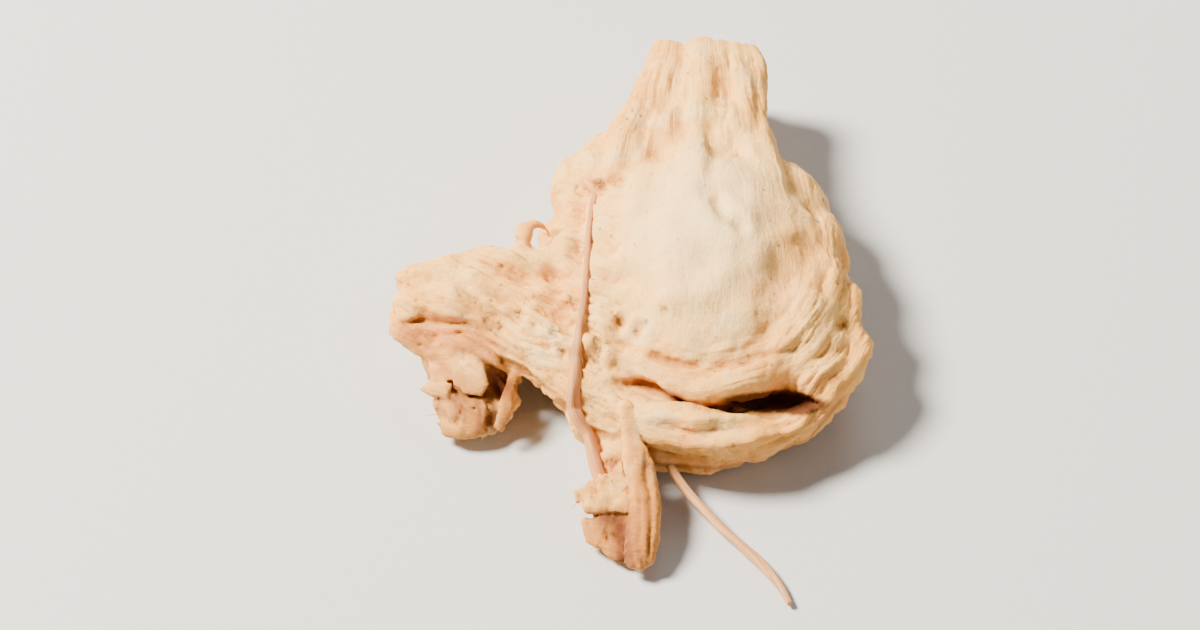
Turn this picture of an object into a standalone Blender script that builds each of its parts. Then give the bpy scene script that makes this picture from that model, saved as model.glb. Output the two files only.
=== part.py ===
# A piece of dried ginger root, as chopped for tea: a fan-shaped knob of rhizome with its cut neck, a side
# arm that broke off short, a torn stub at the front, the folds of its shrunken skin and a few wiry
# rootlets. It grew as one, so it is one solid. It lies on its flat side, with +Z up, the neck towards +Y
# and the arm towards -X.
import math

import bmesh
import bpy
import numpy as np
from mathutils import Matrix, Vector, noise
from mathutils.bvhtree import BVHTree

# The piece is shaped in millimetres, about the middle of its crown, and moved and scaled to metres at the
# end.
METRES_PER_MM = 0.001
OBJECT_NAME = "dried_ginger_root"
PIECE_NAME = "ginger_rhizome"
SKIN_COLOUR = (0.86, 0.68, 0.47, 1.0)
SKIN_ROUGHNESS = 0.8
CREASE_ANGLE = math.radians(50)

# The underside is flat at this height, and its skin is calm for this far above it.
REST_HEIGHT = 0.15
CALM_HEIGHT = 0.9
# The middle of the piece's box, on the surface that it rests on, becomes the origin.
ORIGIN = Vector((-2.60, -2.13, REST_HEIGHT))

# Grid that the lobes and strands are fused on and the folded skin is closed on, rounds of smoothing between
# them, and the triangles that are kept.
FUSE_GRID = 0.15
SKIN_GRID = 0.13
SMOOTH_ROUNDS = 5
SMOOTH_FACTOR = 0.5
BODY_TRIANGLES = 9000
WELD = 0.001

# The neck's cut end: a point on the knife's plane, and the way it faces. The knives are blocks of this size.
NECK_CUT_POINT = Vector((0.9, 11.4, 4.0))
NECK_CUT_NORMAL = Vector((0.10, 1.0, 0.14)).normalized()
KNIFE_BLOCK = 60.0

# Swollen parts of the rhizome: centre and radii.
LOBES = {
    "crown": ((0.6, -0.4, 3.5), (5.3, 6.0, 3.5)),
    "apron": ((0.7, -3.3, 3.6), (6.0, 4.1, 1.35)),
    "right lobe": ((4.0, -2.7, 3.3), (3.25, 4.0, 2.2)),
    "right side": ((3.9, 0.2, 3.1), (2.9, 3.4, 1.9)),
    "right shoulder": ((3.1, 2.6, 3.2), (2.9, 3.4, 2.2)),
    "left lobe": ((-3.3, -1.8, 3.1), (3.0, 4.6, 2.3)),
    "left side": ((-3.4, 1.4, 2.9), (2.8, 2.8, 1.8)),
    "left shoulder": ((-2.9, 3.4, 3.1), (2.9, 3.5, 2.2)),
    "neck root": ((0.6, 5.2, 3.4), (3.8, 4.2, 2.5)),
    "belly": ((-0.7, -1.0, 1.8), (4.9, 4.6, 1.95)),
    "lip join": ((5.6, -5.9, 3.1), (1.4, 1.7, 0.85)),
    "front left": ((-2.3, -6.5, 2.7), (1.7, 1.2, 0.85)),
    "front": ((-1.2, -5.6, 2.2), (3.6, 2.6, 1.7)),
    "front right": ((2.4, -5.2, 1.7), (3.3, 2.7, 1.2)),
    "stub neck": ((-3.1, -11.3, 1.05), (1.2, 1.9, 0.75)),
    "stub root": ((-3.1, -9.9, 1.2), (1.0, 1.5, 0.65)),
    "stub core": ((-2.9, -12.9, 0.7), (0.95, 1.3, 0.5)),
    "crumple root": ((-9.0, -4.2, 2.1), (2.3, 1.7, 1.2)),
    "crumple core": ((-9.3, -6.0, 1.25), (1.6, 1.1, 0.75)),
    "crumple side": ((-8.2, -5.9, 1.35), (1.0, 1.3, 0.75)),
    "crumple low": ((-9.3, -7.1, 0.9), (1.3, 0.7, 0.45)),
}

# Strands of shrunken flesh that run through the piece: points along each one, with its radius there.
STRANDS = {
    "neck left": [
        (-2.8, 2.5, 4.6, 1.3), (-2.2, 5.6, 4.3, 1.2), (-1.25, 8.6, 4.2, 1.05), (-0.7, 12.4, 3.9, 0.95),
    ],
    "neck middle": [(0.3, 1.5, 5.6, 1.3), (0.4, 6.0, 4.8, 1.2), (0.8, 9.0, 4.5, 1.15), (0.9, 12.4, 4.2, 1.1)],
    "neck right": [
        (3.1, 2.2, 4.8, 1.4), (2.7, 5.6, 4.4, 1.25), (2.5, 8.6, 4.2, 1.15), (2.45, 12.4, 4.0, 1.0),
    ],
    "neck under": [(0.6, 3.0, 2.8, 2.4), (0.7, 7.0, 2.9, 2.1), (0.9, 12.4, 3.0, 1.6)],
    "lip upper": [
        (-5.2, -4.6, 2.9, 0.8), (-4.1, -6.6, 2.8, 0.8), (-2.4, -8.0, 2.7, 0.8), (0.2, -8.7, 2.6, 0.72),
        (2.0, -8.9, 2.3, 0.6), (3.7, -8.7, 2.3, 0.55), (5.4, -7.7, 2.7, 0.6), (6.8, -5.6, 3.3, 0.6),
        (7.0, -4.0, 3.45, 0.45), (6.2, -2.4, 3.6, 0.3),
    ],
    "lip lower": [
        (-5.1, -5.2, 2.0, 0.9), (-4.2, -7.3, 1.7, 0.9), (-2.6, -8.5, 1.5, 0.9), (0.2, -8.8, 1.4, 0.75),
        (3.2, -8.1, 1.6, 0.75), (5.3, -6.6, 2.0, 0.8), (6.4, -4.4, 2.6, 0.85),
    ],
    "arm core": [(-4.5, -2.4, 2.6, 1.8), (-8.0, -2.2, 2.6, 1.4), (-12.0, -2.2, 2.5, 1.0)],
    "arm back": [
        (-4.0, -0.2, 3.9, 1.3), (-7.6, -1.3, 3.7, 1.05), (-10.4, -1.4, 3.5, 1.15), (-12.2, -1.8, 3.1, 0.9),
    ],
    "arm middle": [
        (-3.6, -3.6, 4.2, 0.9), (-7.2, -2.7, 3.9, 0.85), (-10.4, -2.4, 3.6, 0.85), (-12.3, -2.6, 3.0, 0.75),
    ],
    "arm fold upper": [
        (-3.0, -6.0, 3.9, 0.5), (-5.4, -4.9, 4.0, 0.5), (-7.4, -3.7, 3.9, 0.5), (-9.4, -3.0, 3.5, 0.5),
        (-12.2, -3.0, 3.1, 0.5),
    ],
    "arm fold middle": [
        (-3.4, -6.9, 3.3, 0.45), (-5.6, -5.6, 3.4, 0.45), (-7.5, -4.4, 3.4, 0.45), (-9.5, -3.6, 3.1, 0.45),
        (-12.0, -3.5, 2.7, 0.45),
    ],
    "arm fold lower": [
        (-4.4, -7.0, 2.5, 0.45), (-6.0, -6.1, 2.7, 0.45), (-7.7, -4.9, 2.8, 0.45), (-9.6, -4.1, 2.6, 0.45),
        (-11.6, -3.9, 2.4, 0.45),
    ],
    "arm ridge": [
        (-12.3, -2.6, 2.9, 0.36), (-12.1, -3.5, 2.9, 0.36), (-11.4, -4.3, 2.8, 0.34),
        (-10.7, -4.8, 2.7, 0.30),
    ],
    "curl": [
        (-6.5, -1.7, 4.0, 0.42), (-6.95, -1.0, 4.3, 0.36), (-7.05, -0.1, 4.5, 0.31), (-6.8, 0.7, 4.6, 0.28),
        (-6.35, 0.95, 4.5, 0.27), (-5.9, 0.8, 4.1, 0.28),
    ],
}
STRAND_RINGS = 8
STRAND_ROUNDNESS = 4

# Broken flesh on the torn ends: the corners of each angular bit, as across and up on the slanted plane of the
# face, described below, and height.
CHIPS = {
    "stub facet": [
        (-2.9, -8.05, 2.5), (-4.85, -9.35, 1.85), (-4.85, -9.75, 1.7), (-4.3, -10.15, 1.55),
        (-2.6, -10.15, 2.05), (-2.5, -8.6, 1.2), (-4.8, -9.5, 1.1), (-4.0, -10.3, 0.7), (-2.5, -10.4, 0.7),
    ],
    "stub foot": [
        (-4.5, -10.5, 1.15), (-3.8, -10.4, 1.35), (-3.5, -11.7, 0.9), (-4.35, -11.4, 0.75),
        (-4.4, -10.8, 0.35), (-3.3, -10.8, 0.35), (-3.5, -11.7, 0.35),
    ],
    "crumple neck": [
        (-11.2, -3.5, 2.6), (-10.1, -3.4, 2.8), (-10.0, -4.7, 2.5), (-10.9, -4.8, 2.3), (-10.9, -3.9, 1.7),
        (-10.1, -4.0, 1.7), (-10.4, -4.9, 1.6),
    ],
    "crumple tip": [
        (-11.5, -5.1, 2.0), (-10.8, -4.65, 2.35), (-10.0, -4.9, 2.5), (-10.2, -5.5, 2.0), (-10.9, -5.5, 1.7),
        (-10.6, -5.0, 1.4), (-10.1, -5.3, 1.4),
    ],
    "crumple tongue": [
        (-10.0, -4.1, 2.85), (-9.2, -3.8, 3.05), (-8.6, -4.2, 3.0), (-8.45, -4.9, 2.75), (-8.8, -5.35, 2.4),
        (-9.5, -5.25, 2.4), (-9.9, -4.9, 2.5), (-9.4, -4.2, 1.9), (-8.8, -4.8, 1.7), (-9.6, -5.0, 1.6),
    ],
    "crumple sheet": [
        (-9.6, -5.45, 2.05), (-8.7, -5.45, 2.15), (-8.55, -6.3, 1.65), (-8.8, -6.9, 1.2), (-9.4, -6.8, 1.2),
        (-9.4, -5.6, 1.2), (-8.8, -5.7, 1.2), (-9.1, -6.6, 0.8),
    ],
    "crumple foot": [
        (-10.8, -6.5, 1.0), (-10.2, -6.35, 1.3), (-9.6, -6.6, 1.1), (-9.9, -7.1, 0.7), (-10.5, -7.0, 0.65),
        (-10.3, -6.6, 0.4), (-9.7, -6.8, 0.4), (-9.3, -6.5, 0.8),
    ],
}
# Flat straps of skin over them: points of across, up, height and half width.
STRAPS = {
    "stub": [
        (-2.74, -5.4, 3.38, 0.14), (-2.64, -6.3, 3.28, 0.26), (-2.45, -7.2, 2.88, 0.40),
        (-2.15, -8.2, 2.45, 0.54), (-2.0, -9.4, 2.0, 0.62), (-2.0, -10.6, 1.6, 0.68),
        (-2.1, -11.7, 1.15, 0.66), (-2.4, -12.4, 0.85, 0.45),
    ],
    "crumple": [
        (-7.4, -4.5, 2.5, 0.28), (-7.65, -5.4, 2.2, 0.28), (-7.85, -6.2, 1.75, 0.26), (-8.1, -6.8, 1.3, 0.22),
    ],
    "crumple strip": [(-10.05, -5.3, 1.9, 0.30), (-10.0, -6.0, 1.6, 0.28), (-10.1, -6.7, 1.1, 0.24)],
}
STRAP_FLATNESS = 0.6

# Marks on the face of the piece lie on a plane that slants back from the front: across it in x, and up it.
FACE_TILT = math.radians(50)
FACE_OFFSET = 1.8
FACE_OUTWARD = Vector((0, -math.cos(FACE_TILT), math.sin(FACE_TILT)))
FACE_RISE = Vector((0, math.sin(FACE_TILT), math.cos(FACE_TILT)))

# Creases: the points along each one on that plane, its width and its depth.
CREASES = [
    ([(-0.15, 10.6), (0.0, 8.3), (-0.3, 6.8), (-0.45, 5.0)], 0.35, 0.10),
    ([(1.45, 10.6), (1.6, 7.1), (1.0, 5.6), (0.75, 3.8)], 0.35, 0.11),
    ([(2.7, 9.5), (3.1, 7.9), (3.0, 6.0), (3.5, 4.2)], 0.35, 0.13),
    ([(-1.5, 7.2), (-2.0, 5.6), (-2.9, 4.0), (-3.0, 1.7)], 0.35, 0.15),
    ([(0.9, 3.2), (1.6, 2.0), (2.6, 1.4)], 0.35, 0.22),
    ([(-4.9, 5.2), (-4.5, 3.2), (-4.7, 1.4), (-4.7, -0.5)], 0.35, 0.25),
    ([(-1.5, -3.4), (-0.45, -4.0), (1.2, -3.9), (3.3, -3.5)], 0.30, 0.16),
    ([(-2.8, -4.8), (-1.8, -4.95), (-0.45, -5.45), (1.8, -5.8)], 0.24, 0.14),
    ([(-2.4, -6.4), (0.6, -6.9), (3.0, -6.8), (5.4, -6.1)], 0.26, 0.16),
    ([(-4.0, -7.0), (-1.0, -7.7), (2.2, -7.6), (4.4, -6.9)], 0.26, 0.14),
    ([(4.6, 1.5), (5.4, 0.6), (5.9, -0.9)], 0.45, 0.14),
    ([(-9.9, -0.6), (-8.9, -1.5), (-8.1, -2.4)], 0.30, 0.28),
    ([(-11.9, -2.1), (-9.4, -2.2), (-8.0, -2.9), (-5.6, -4.7)], 0.28, 0.22),
    ([(-11.3, -2.7), (-9.3, -2.8), (-8.0, -3.6), (-5.9, -5.3)], 0.28, 0.22),
    ([(-6.2, 0.9), (-5.6, -0.8), (-5.9, -2.2)], 0.40, 0.16),
]

# Folds whose upper side laps over the lower: points from left to right, the step between the two sides, how
# far the lap reaches and the width of its edge.
LAPS = [
    ([(-3.5, -4.6), (-2.6, -4.75), (-1.5, -4.9), (-0.3, -5.35), (1.0, -5.65), (2.0, -5.75)], 0.3, 0.9, 0.1),
    ([(-1.7, -3.3), (-1.1, -3.75), (-0.4, -4.05), (0.9, -4.1)], 0.34, 0.6, 0.11),
    ([(0.5, -4.05), (2.0, -4.0), (3.6, -3.55), (4.9, -2.9)], 0.20, 0.7, 0.13),
    ([(-12.4, -2.4), (-11.3, -2.15), (-10.2, -2.25), (-9.3, -2.35), (-8.1, -2.75)], 0.30, 0.7, 0.10),
    ([(-10.6, -2.8), (-9.6, -2.75), (-8.6, -3.3), (-7.9, -3.8), (-6.7, -4.4), (-5.4, -5.5)], 0.24, 0.5, 0.09),
    ([(-9.4, -2.5), (-8.5, -2.95), (-7.7, -3.4), (-7.0, -3.8), (-5.9, -4.5)], 0.16, 0.35, 0.08),
    ([(-9.9, -3.25), (-9.0, -3.55), (-8.1, -4.25), (-7.2, -5.05), (-6.4, -5.7)], 0.30, 0.5, 0.09),
    ([(-2.0, -6.3), (-0.4, -6.6), (1.4, -6.75), (3.4, -6.6), (5.2, -6.0), (6.2, -5.0)], 0.12, 0.4, 0.09),
    ([(-1.6, -7.1), (0.6, -7.4), (2.6, -7.3), (4.4, -6.8), (5.6, -6.0)], 0.14, 0.4, 0.09),
    ([(-4.6, -6.3), (-3.7, -6.9), (-3.0, -7.1)], 0.14, 0.4, 0.10),
    ([(4.7, -0.6), (5.6, -0.75), (6.5, -1.2)], 0.08, 0.4, 0.14),
]
LAP_RISE = 0.6
LAP_UNDERCUT = 0.5

# Pits on that plane: across, up, radius and depth.
PITS = [
    (-3.9, 3.5, 0.40, 0.24), (-2.95, -2.3, 0.30, 0.30), (-3.85, -3.5, 0.34, 0.22), (-2.2, -2.6, 0.28, 0.14),
    (-1.15, -1.8, 0.26, 0.12), (-7.3, -1.9, 0.36, 0.22), (6.5, -2.6, 0.36, 0.18), (-5.3, -2.1, 0.34, 0.18),
    (-3.5, 0.9, 0.30, 0.12), (2.2, 1.6, 0.34, 0.14),
]

# How far the creases and pits wander off their lines, and the bank of flesh that each one pushes up beside
# it: its height as a share of the depth, and its middle and spread in widths from the line.
MARK_WANDER = 0.22
BANK_HEIGHT = 0.45
BANK_MIDDLE = 1.6
BANK_SPREAD = 1.3
PIT_BANK_HEIGHT = 0.25

# Broad lumps over the whole skin: seed, waves in a millimetre and height.
SWELLS = [(3.1, 0.20, 0.50), (10.8, 0.42, 0.28), (18.5, 0.85, 0.17)]
# The average of the ridged noise that the folds are made from, and how strongly it raises each kind of fold.
PUCKER_LEVEL = 0.21
NECK_CREASE_HEIGHT = 0.19
RIM_RING_HEIGHT = 0.45
RIM_RIB_HEIGHT = 0.15
ARM_WRINKLE_HEIGHT = 0.52
UNDERSIDE_WRINKLE_HEIGHT = 0.80
CRUMPLE_HEIGHT = 0.20
# The rings are this much lower at the right, and all but the finest lumps this much lower on the torn ends.
RIGHT_CALM = 0.7
TORN_END_CALM = 0.8
# The neck's creases fan out from a point above it, so many in a radian.
NECK_FAN_POINT = (0.8, 22.0)
NECK_CREASE_WAVES = 17.0
# The rim is an ellipse; its rings are so many in its radius, and its ribs so many in a degree of its turn.
RIM_MIDDLE = (0.4, -0.4)
RIM_RADII = (7.3, 8.6)
RIM_RING_WAVES = 10.0
RIM_RIB_WAVES = 0.10
# The wrinkles on the left run this far off the x axis, so many in a millimetre.
ARM_WRINKLE_LEAN = math.radians(-30)
ARM_WRINKLE_WAVES = 1.1
UNDERSIDE_WRINKLE_WAVES = 1.1
CRUMPLE_WAVES = 1.1

# The open slit between the body and the lip: its middle, half its width, depth and height, its lean to the
# right and how much its ends curve up, per square millimetre.
SLIT_MIDDLE = Vector((3.45, -7.85, 3.3))
SLIT_HALVES = (1.9, 1.6, 0.42)
SLIT_LEAN = math.radians(-3)
SLIT_CURVE = 0.01

# The rootlet that climbs the left of the face: points of its foot as x, y, z and radius, then across and up
# on the slanted plane, height above the skin and radius.
CLIMBING_FOOT = [
    (-3.5, -11.0, 1.4, 0.26), (-3.9, -10.2, 1.75, 0.26), (-4.15, -9.2, 1.95, 0.27), (-4.35, -8.4, 2.2, 0.27),
]
CLIMBING_ROOTLET = [
    (-4.75, -6.4, 0.20, 0.27), (-4.86, -4.5, 0.23, 0.26), (-4.80, -3.5, 0.20, 0.24),
    (-4.70, -2.6, 0.16, 0.16), (-4.48, -1.4, 0.15, 0.14), (-4.37, 0.0, 0.14, 0.13),
    (-4.3, 1.3, 0.12, 0.12), (-4.15, 2.6, 0.09, 0.12), (-3.95, 3.5, -0.26, 0.11),
]
# The wiry rootlets that stand clear: points of x, y, z and radius, from inside the body out to the tip.
WIRY_ROOTLETS = {
    "long": [
        (-1.3, -8.4, 1.5, 0.24), (-0.6, -10.0, 1.1, 0.20), (0.9, -12.0, 0.75, 0.19), (2.6, -13.8, 0.55, 0.21),
        (3.5, -15.0, 0.45, 0.19), (4.0, -16.1, 0.40, 0.12),
    ],
    "back left": [
        (-2.6, 3.6, 2.0, 0.36), (-3.1, 5.4, 1.2, 0.32), (-3.3, 6.6, 0.8, 0.26), (-2.7, 7.8, 0.6, 0.20),
    ],
    "back right": [(2.8, 4.0, 2.0, 0.36), (3.7, 5.6, 1.2, 0.32), (3.6, 6.9, 0.9, 0.26)],
    "neck stub": [(0.6, 6.6, 2.0, 0.55), (0.8, 7.6, 1.0, 0.48), (0.9, 8.1, 0.6, 0.36)],
    "arm stub": [(-8.2, -1.9, 2.0, 0.50), (-8.0, -1.6, 1.1, 0.44), (-7.7, -1.2, 0.7, 0.34)],
}
ROOTLET_RINGS = 4
ROOTLET_ROUNDNESS = 2


def clear_scene():
    for old in list(bpy.data.objects):
        bpy.data.objects.remove(old)


def linked(name, data, collection=None):
    obj = bpy.data.objects.new(name, data)
    (collection or bpy.context.scene.collection).objects.link(obj)
    return obj


def evaluated_mesh(obj):
    """The mesh of an object with its modifiers applied; the object is removed."""
    graph = bpy.context.evaluated_depsgraph_get()
    mesh = bpy.data.meshes.new_from_object(obj.evaluated_get(graph))
    bpy.data.objects.remove(obj)
    return mesh


def finished_mesh(work, name):
    mesh = bpy.data.meshes.new(name)
    work.to_mesh(mesh)
    work.free()
    return mesh


def tube_mesh(name, points, rings, roundness):
    """A closed round tube through points of x, y, z and radius."""
    curve = bpy.data.curves.new(name, "CURVE")
    curve.dimensions = "3D"
    curve.bevel_depth = 1.0
    curve.bevel_resolution = roundness
    curve.resolution_u = rings
    curve.use_fill_caps = True
    spline = curve.splines.new("BEZIER")
    spline.bezier_points.add(len(points) - 1)
    for knot, (x, y, z, radius) in zip(spline.bezier_points, points):
        knot.co = (x, y, z)
        knot.radius = radius
        knot.handle_left_type = "AUTO"
        knot.handle_right_type = "AUTO"
    work = bmesh.new()
    work.from_mesh(evaluated_mesh(linked(name, curve)))
    bmesh.ops.remove_doubles(work, verts=work.verts, dist=WELD)
    bmesh.ops.recalc_face_normals(work, faces=work.faces)
    return finished_mesh(work, name)


def fused(mesh, grid):
    """One skin round everything in the mesh."""
    body = linked("fused", mesh)
    skin = body.modifiers.new("one skin", "REMESH")
    skin.mode = "VOXEL"
    skin.voxel_size = grid
    return evaluated_mesh(body)


def fused_body():
    """Every lobe and strand in one skin."""
    work = bmesh.new()
    for centre, radii in LOBES.values():
        place = Matrix.Translation(centre) @ Matrix.Diagonal((*radii, 1.0))
        bmesh.ops.create_icosphere(work, subdivisions=4, radius=1.0, matrix=place)
    for name, points in STRANDS.items():
        work.from_mesh(tube_mesh(name, points, STRAND_RINGS, STRAND_ROUNDNESS))
    return fused(finished_mesh(work, "lobes and strands"), FUSE_GRID)


def ease(low, high, value):
    """0 below low, 1 above high, and smooth between them."""
    share = np.clip((value - low) / (high - low), 0.0, 1.0)
    return share * share * (3 - 2 * share)


def noise_at(seed, *coordinates):
    """Smooth noise, one value for each point, with a wave for every unit or so of its coordinates."""
    shift = Vector((seed, -seed * 0.7, seed * 1.3))
    return np.array([noise.noise(Vector(point) + shift) for point in zip(*coordinates)])


def puckers(seed, *coordinates):
    """Rounded ridges with sharp valleys between them, about level on average."""
    return np.abs(noise_at(seed, *coordinates)) - PUCKER_LEVEL


def line_distance(line, across, up):
    """How far each point is from a line on the face plane, how far along it it is, 0 to 1, and on which side:
    1 above the line and -1 below it."""
    best = np.full(len(across), np.inf)
    along = np.zeros(len(across))
    side = np.ones(len(across))
    for index, ((x0, y0), (x1, y1)) in enumerate(zip(line, line[1:])):
        dx = x1 - x0
        dy = y1 - y0
        share = np.clip(((across - x0) * dx + (up - y0) * dy) / (dx * dx + dy * dy), 0.0, 1.0)
        gap = np.hypot(across - x0 - share * dx, up - y0 - share * dy)
        closer = gap < best
        along = np.where(closer, (index + share) / (len(line) - 1), along)
        side = np.where(closer, np.sign(dx * (up - y0) - dy * (across - x0)), side)
        best = np.minimum(gap, best)
    return best, along, side


def face_marks(points, normals):
    """The folds and pits of the face that can be told apart one by one."""
    x = points[:, 0]
    up = points @ np.array(FACE_RISE) - FACE_OFFSET
    facing = ease(0.05, 0.35, normals @ np.array(FACE_OUTWARD))
    wander = MARK_WANDER * noise_at(41.0, *(points * 0.6).T)
    height = np.zeros(len(points))
    for line, width, depth in CREASES:
        gap, along, side = line_distance(line, x + wander, up - wander)
        fade = 0.15 + 0.85 * np.minimum(ease(0.0, 0.18, along), 1 - ease(0.82, 1.0, along))
        groove = np.exp(-((gap / width) ** 2))
        bank = BANK_HEIGHT * np.exp(-(((gap / width - BANK_MIDDLE) / BANK_SPREAD) ** 2))
        height += depth * fade * (bank - groove)
    for line, step, reach, edge in LAPS:
        gap, along, side = line_distance(line, x + 0.5 * wander, up - 0.5 * wander)
        fade = np.minimum(ease(0.0, 0.2, along), 1 - ease(0.8, 1.0, along))
        lap = LAP_RISE * np.tanh(side * gap / edge) * np.exp(-((gap / reach) ** 2))
        undercut = LAP_UNDERCUT * np.exp(-(((side * gap + edge) / edge) ** 2))
        height += step * fade * (lap - undercut)
    for across, rise, radius, depth in PITS:
        gap = np.hypot(x - across + 0.6 * wander, (up - rise) * 0.8 - wander) / radius
        bank = PIT_BANK_HEIGHT * np.exp(-3 * (gap - 1.5) ** 2)
        height += depth * (bank - np.exp(-(gap ** 2)))
    return height * facing


def torn_ends(points):
    """Where the crumpled flesh under the arm and the stub at the front are, 0 to 1."""
    x, y, z = points.T
    low = 1 - ease(2.6, 3.2, z)
    return ease(6.8, 7.6, -x) * ease(4.6, 5.4, -y) * low, ease(9.4, 10.2, -y) * low


def whole_skin(points):
    """1 on whole skin, and less on the torn ends."""
    crumple, stub = torn_ends(points)
    return 1 - TORN_END_CALM * np.maximum(crumple, stub)


def swells(points):
    """Broad lumps, and finer ones on them."""
    height = np.zeros(len(points))
    for seed, waves, size in SWELLS:
        height += size * noise_at(seed, *(points * waves).T)
    return height * whole_skin(points)


def neck_creases(points):
    """Long creases that fan out from the neck and die away over the crown."""
    x, y, z = points.T
    fan_x, fan_y = NECK_FAN_POINT
    angle = np.arctan2(x - fan_x, fan_y - y) + 0.03 * noise_at(11.0, *(points * 0.5).T)
    creases = puckers(5.0, angle * NECK_CREASE_WAVES, y * 0.07, z * 0.25)
    return NECK_CREASE_HEIGHT * creases * ease(-5.0, 5.5, y)


def rim_rings(points):
    """Growth rings round the front and the right rim, crossed by short ribs at the right."""
    x = points[:, 0] - RIM_MIDDLE[0]
    y = points[:, 1] - RIM_MIDDLE[1]
    z = points[:, 2]
    reach = np.hypot(x / RIM_RADII[0], y / RIM_RADII[1])
    turn = np.degrees(np.arctan2(y, x))
    front = ease(-165, -120, turn) * (1 - ease(10, 45, turn)) * ease(0.55, 0.85, reach)
    right = ease(-75, -50, turn) * (1 - ease(30, 60, turn)) * ease(0.65, 0.9, reach)
    wander = 0.35 * noise_at(23.0, *(points * 0.5).T)
    where = front * (1 - RIGHT_CALM * right) * whole_skin(points)
    rings = where * puckers(9.0, reach * RIM_RING_WAVES + wander, turn * 0.022, z * 0.2)
    ribs = right * puckers(27.0, reach * 1.2, turn * RIM_RIB_WAVES, z * 0.2)
    return RIM_RING_HEIGHT * rings + RIM_RIB_HEIGHT * ribs


def arm_wrinkles(points):
    """Slanting wrinkles on the left, where the arm pulled the skin."""
    x, y, z = points.T
    along = x * math.cos(ARM_WRINKLE_LEAN) + y * math.sin(ARM_WRINKLE_LEAN)
    across = y * math.cos(ARM_WRINKLE_LEAN) - x * math.sin(ARM_WRINKLE_LEAN)
    where = ease(1.5, 4.5, -x) * (1 - ease(2.0, 5.0, y))
    return ARM_WRINKLE_HEIGHT * where * puckers(31.0, across * ARM_WRINKLE_WAVES, along * 0.28, z * 0.4)


def underside_wrinkles(points, normals):
    x, y, z = points.T
    facing_down = ease(0.2, 0.7, -normals[:, 2])
    wrinkles = puckers(61.0, x * 0.35, y * UNDERSIDE_WRINKLE_WAVES, z * 0.6)
    return UNDERSIDE_WRINKLE_HEIGHT * facing_down * wrinkles


def crumple_folds(points):
    x, y, z = points.T
    return CRUMPLE_HEIGHT * torn_ends(points)[0] * puckers(51.0, x * CRUMPLE_WAVES, y * 0.5, z * 0.5)


def sculpted(mesh):
    """The fused skin, smoothed and then folded along its normals."""
    work = bmesh.new()
    work.from_mesh(mesh)
    for _ in range(SMOOTH_ROUNDS):
        bmesh.ops.smooth_vert(
            work, verts=work.verts, factor=SMOOTH_FACTOR, use_axis_x=True, use_axis_y=True, use_axis_z=True
        )
    mesh = finished_mesh(work, "sculpted")
    points = np.empty(len(mesh.vertices) * 3)
    normals = np.empty(len(mesh.vertices) * 3)
    mesh.vertices.foreach_get("co", points)
    mesh.vertex_normals.foreach_get("vector", normals)
    points = points.reshape(-1, 3)
    normals = normals.reshape(-1, 3)
    height = face_marks(points, normals) + swells(points) + neck_creases(points) + rim_rings(points)
    height += arm_wrinkles(points) + underside_wrinkles(points, normals) + crumple_folds(points)
    height *= ease(REST_HEIGHT - 0.2, REST_HEIGHT + CALM_HEIGHT, points[:, 2])
    mesh.vertices.foreach_set("co", (points + normals * height[:, None]).ravel())
    mesh.update()
    return mesh


def face_point(across, up, height):
    """The point at a height above the floor that shows at a place on the face plane."""
    return Vector((across, (up + FACE_OFFSET - FACE_RISE.z * height) / FACE_RISE.y, height))


def with_broken_ends(mesh):
    """The chips and straps pushed into the folded body, all in one skin."""
    work = bmesh.new()
    for corners in CHIPS.values():
        verts = [bmesh.ops.create_vert(work, co=face_point(*corner))["vert"][0] for corner in corners]
        bmesh.ops.convex_hull(work, input=verts)
    bmesh.ops.recalc_face_normals(work, faces=work.faces)
    for name, points in STRAPS.items():
        # a round tube in space stretched across the face, flattened with it afterwards
        stretch = Matrix.Scale(1 / STRAP_FLATNESS, 3, FACE_OUTWARD)
        path = [(*(stretch @ face_point(across, up, height)), half) for across, up, height, half in points]
        strap = tube_mesh(name, path, STRAND_RINGS, STRAND_ROUNDNESS)
        strap.transform(Matrix.Scale(STRAP_FLATNESS, 4, FACE_OUTWARD))
        work.from_mesh(strap)
    work.from_mesh(mesh)
    return fused(finished_mesh(work, "broken ends"), SKIN_GRID)


def slit_mesh():
    """The lens that is taken out for the slit."""
    work = bmesh.new()
    bmesh.ops.create_icosphere(work, subdivisions=3, radius=1.0, matrix=Matrix.Diagonal((*SLIT_HALVES, 1.0)))
    for vert in work.verts:
        vert.co.z += SLIT_CURVE * vert.co.x ** 2
    facing = Matrix.Rotation(FACE_TILT - math.pi / 2, 4, "X") @ Matrix.Rotation(-SLIT_LEAN, 4, "Y")
    bmesh.ops.transform(work, matrix=Matrix.Translation(SLIT_MIDDLE) @ facing, verts=work.verts)
    return finished_mesh(work, "slit")


def half_space(point, normal):
    """A block that starts on a plane and reaches the way it faces, past the end of the piece."""
    work = bmesh.new()
    turn = normal.to_track_quat("Z", "Y").to_matrix().to_4x4()
    place = Matrix.Translation(point) @ turn @ Matrix.Translation((0, 0, KNIFE_BLOCK / 2))
    bmesh.ops.create_cube(work, size=KNIFE_BLOCK, matrix=place)
    return finished_mesh(work, "half space")


def without_crumbs(mesh):
    """The mesh with only its largest connected part."""
    work = bmesh.new()
    work.from_mesh(mesh)
    left = set(work.verts)
    parts = []
    while left:
        part = set()
        edge = [left.pop()]
        while edge:
            vert = edge.pop()
            part.add(vert)
            nearby = {link.other_vert(vert) for link in vert.link_edges} & left
            left -= nearby
            edge.extend(nearby)
        parts.append(part)
    parts.sort(key=len)
    for part in parts[:-1]:
        bmesh.ops.delete(work, geom=list(part), context="VERTS")
    return finished_mesh(work, "without crumbs")


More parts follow.
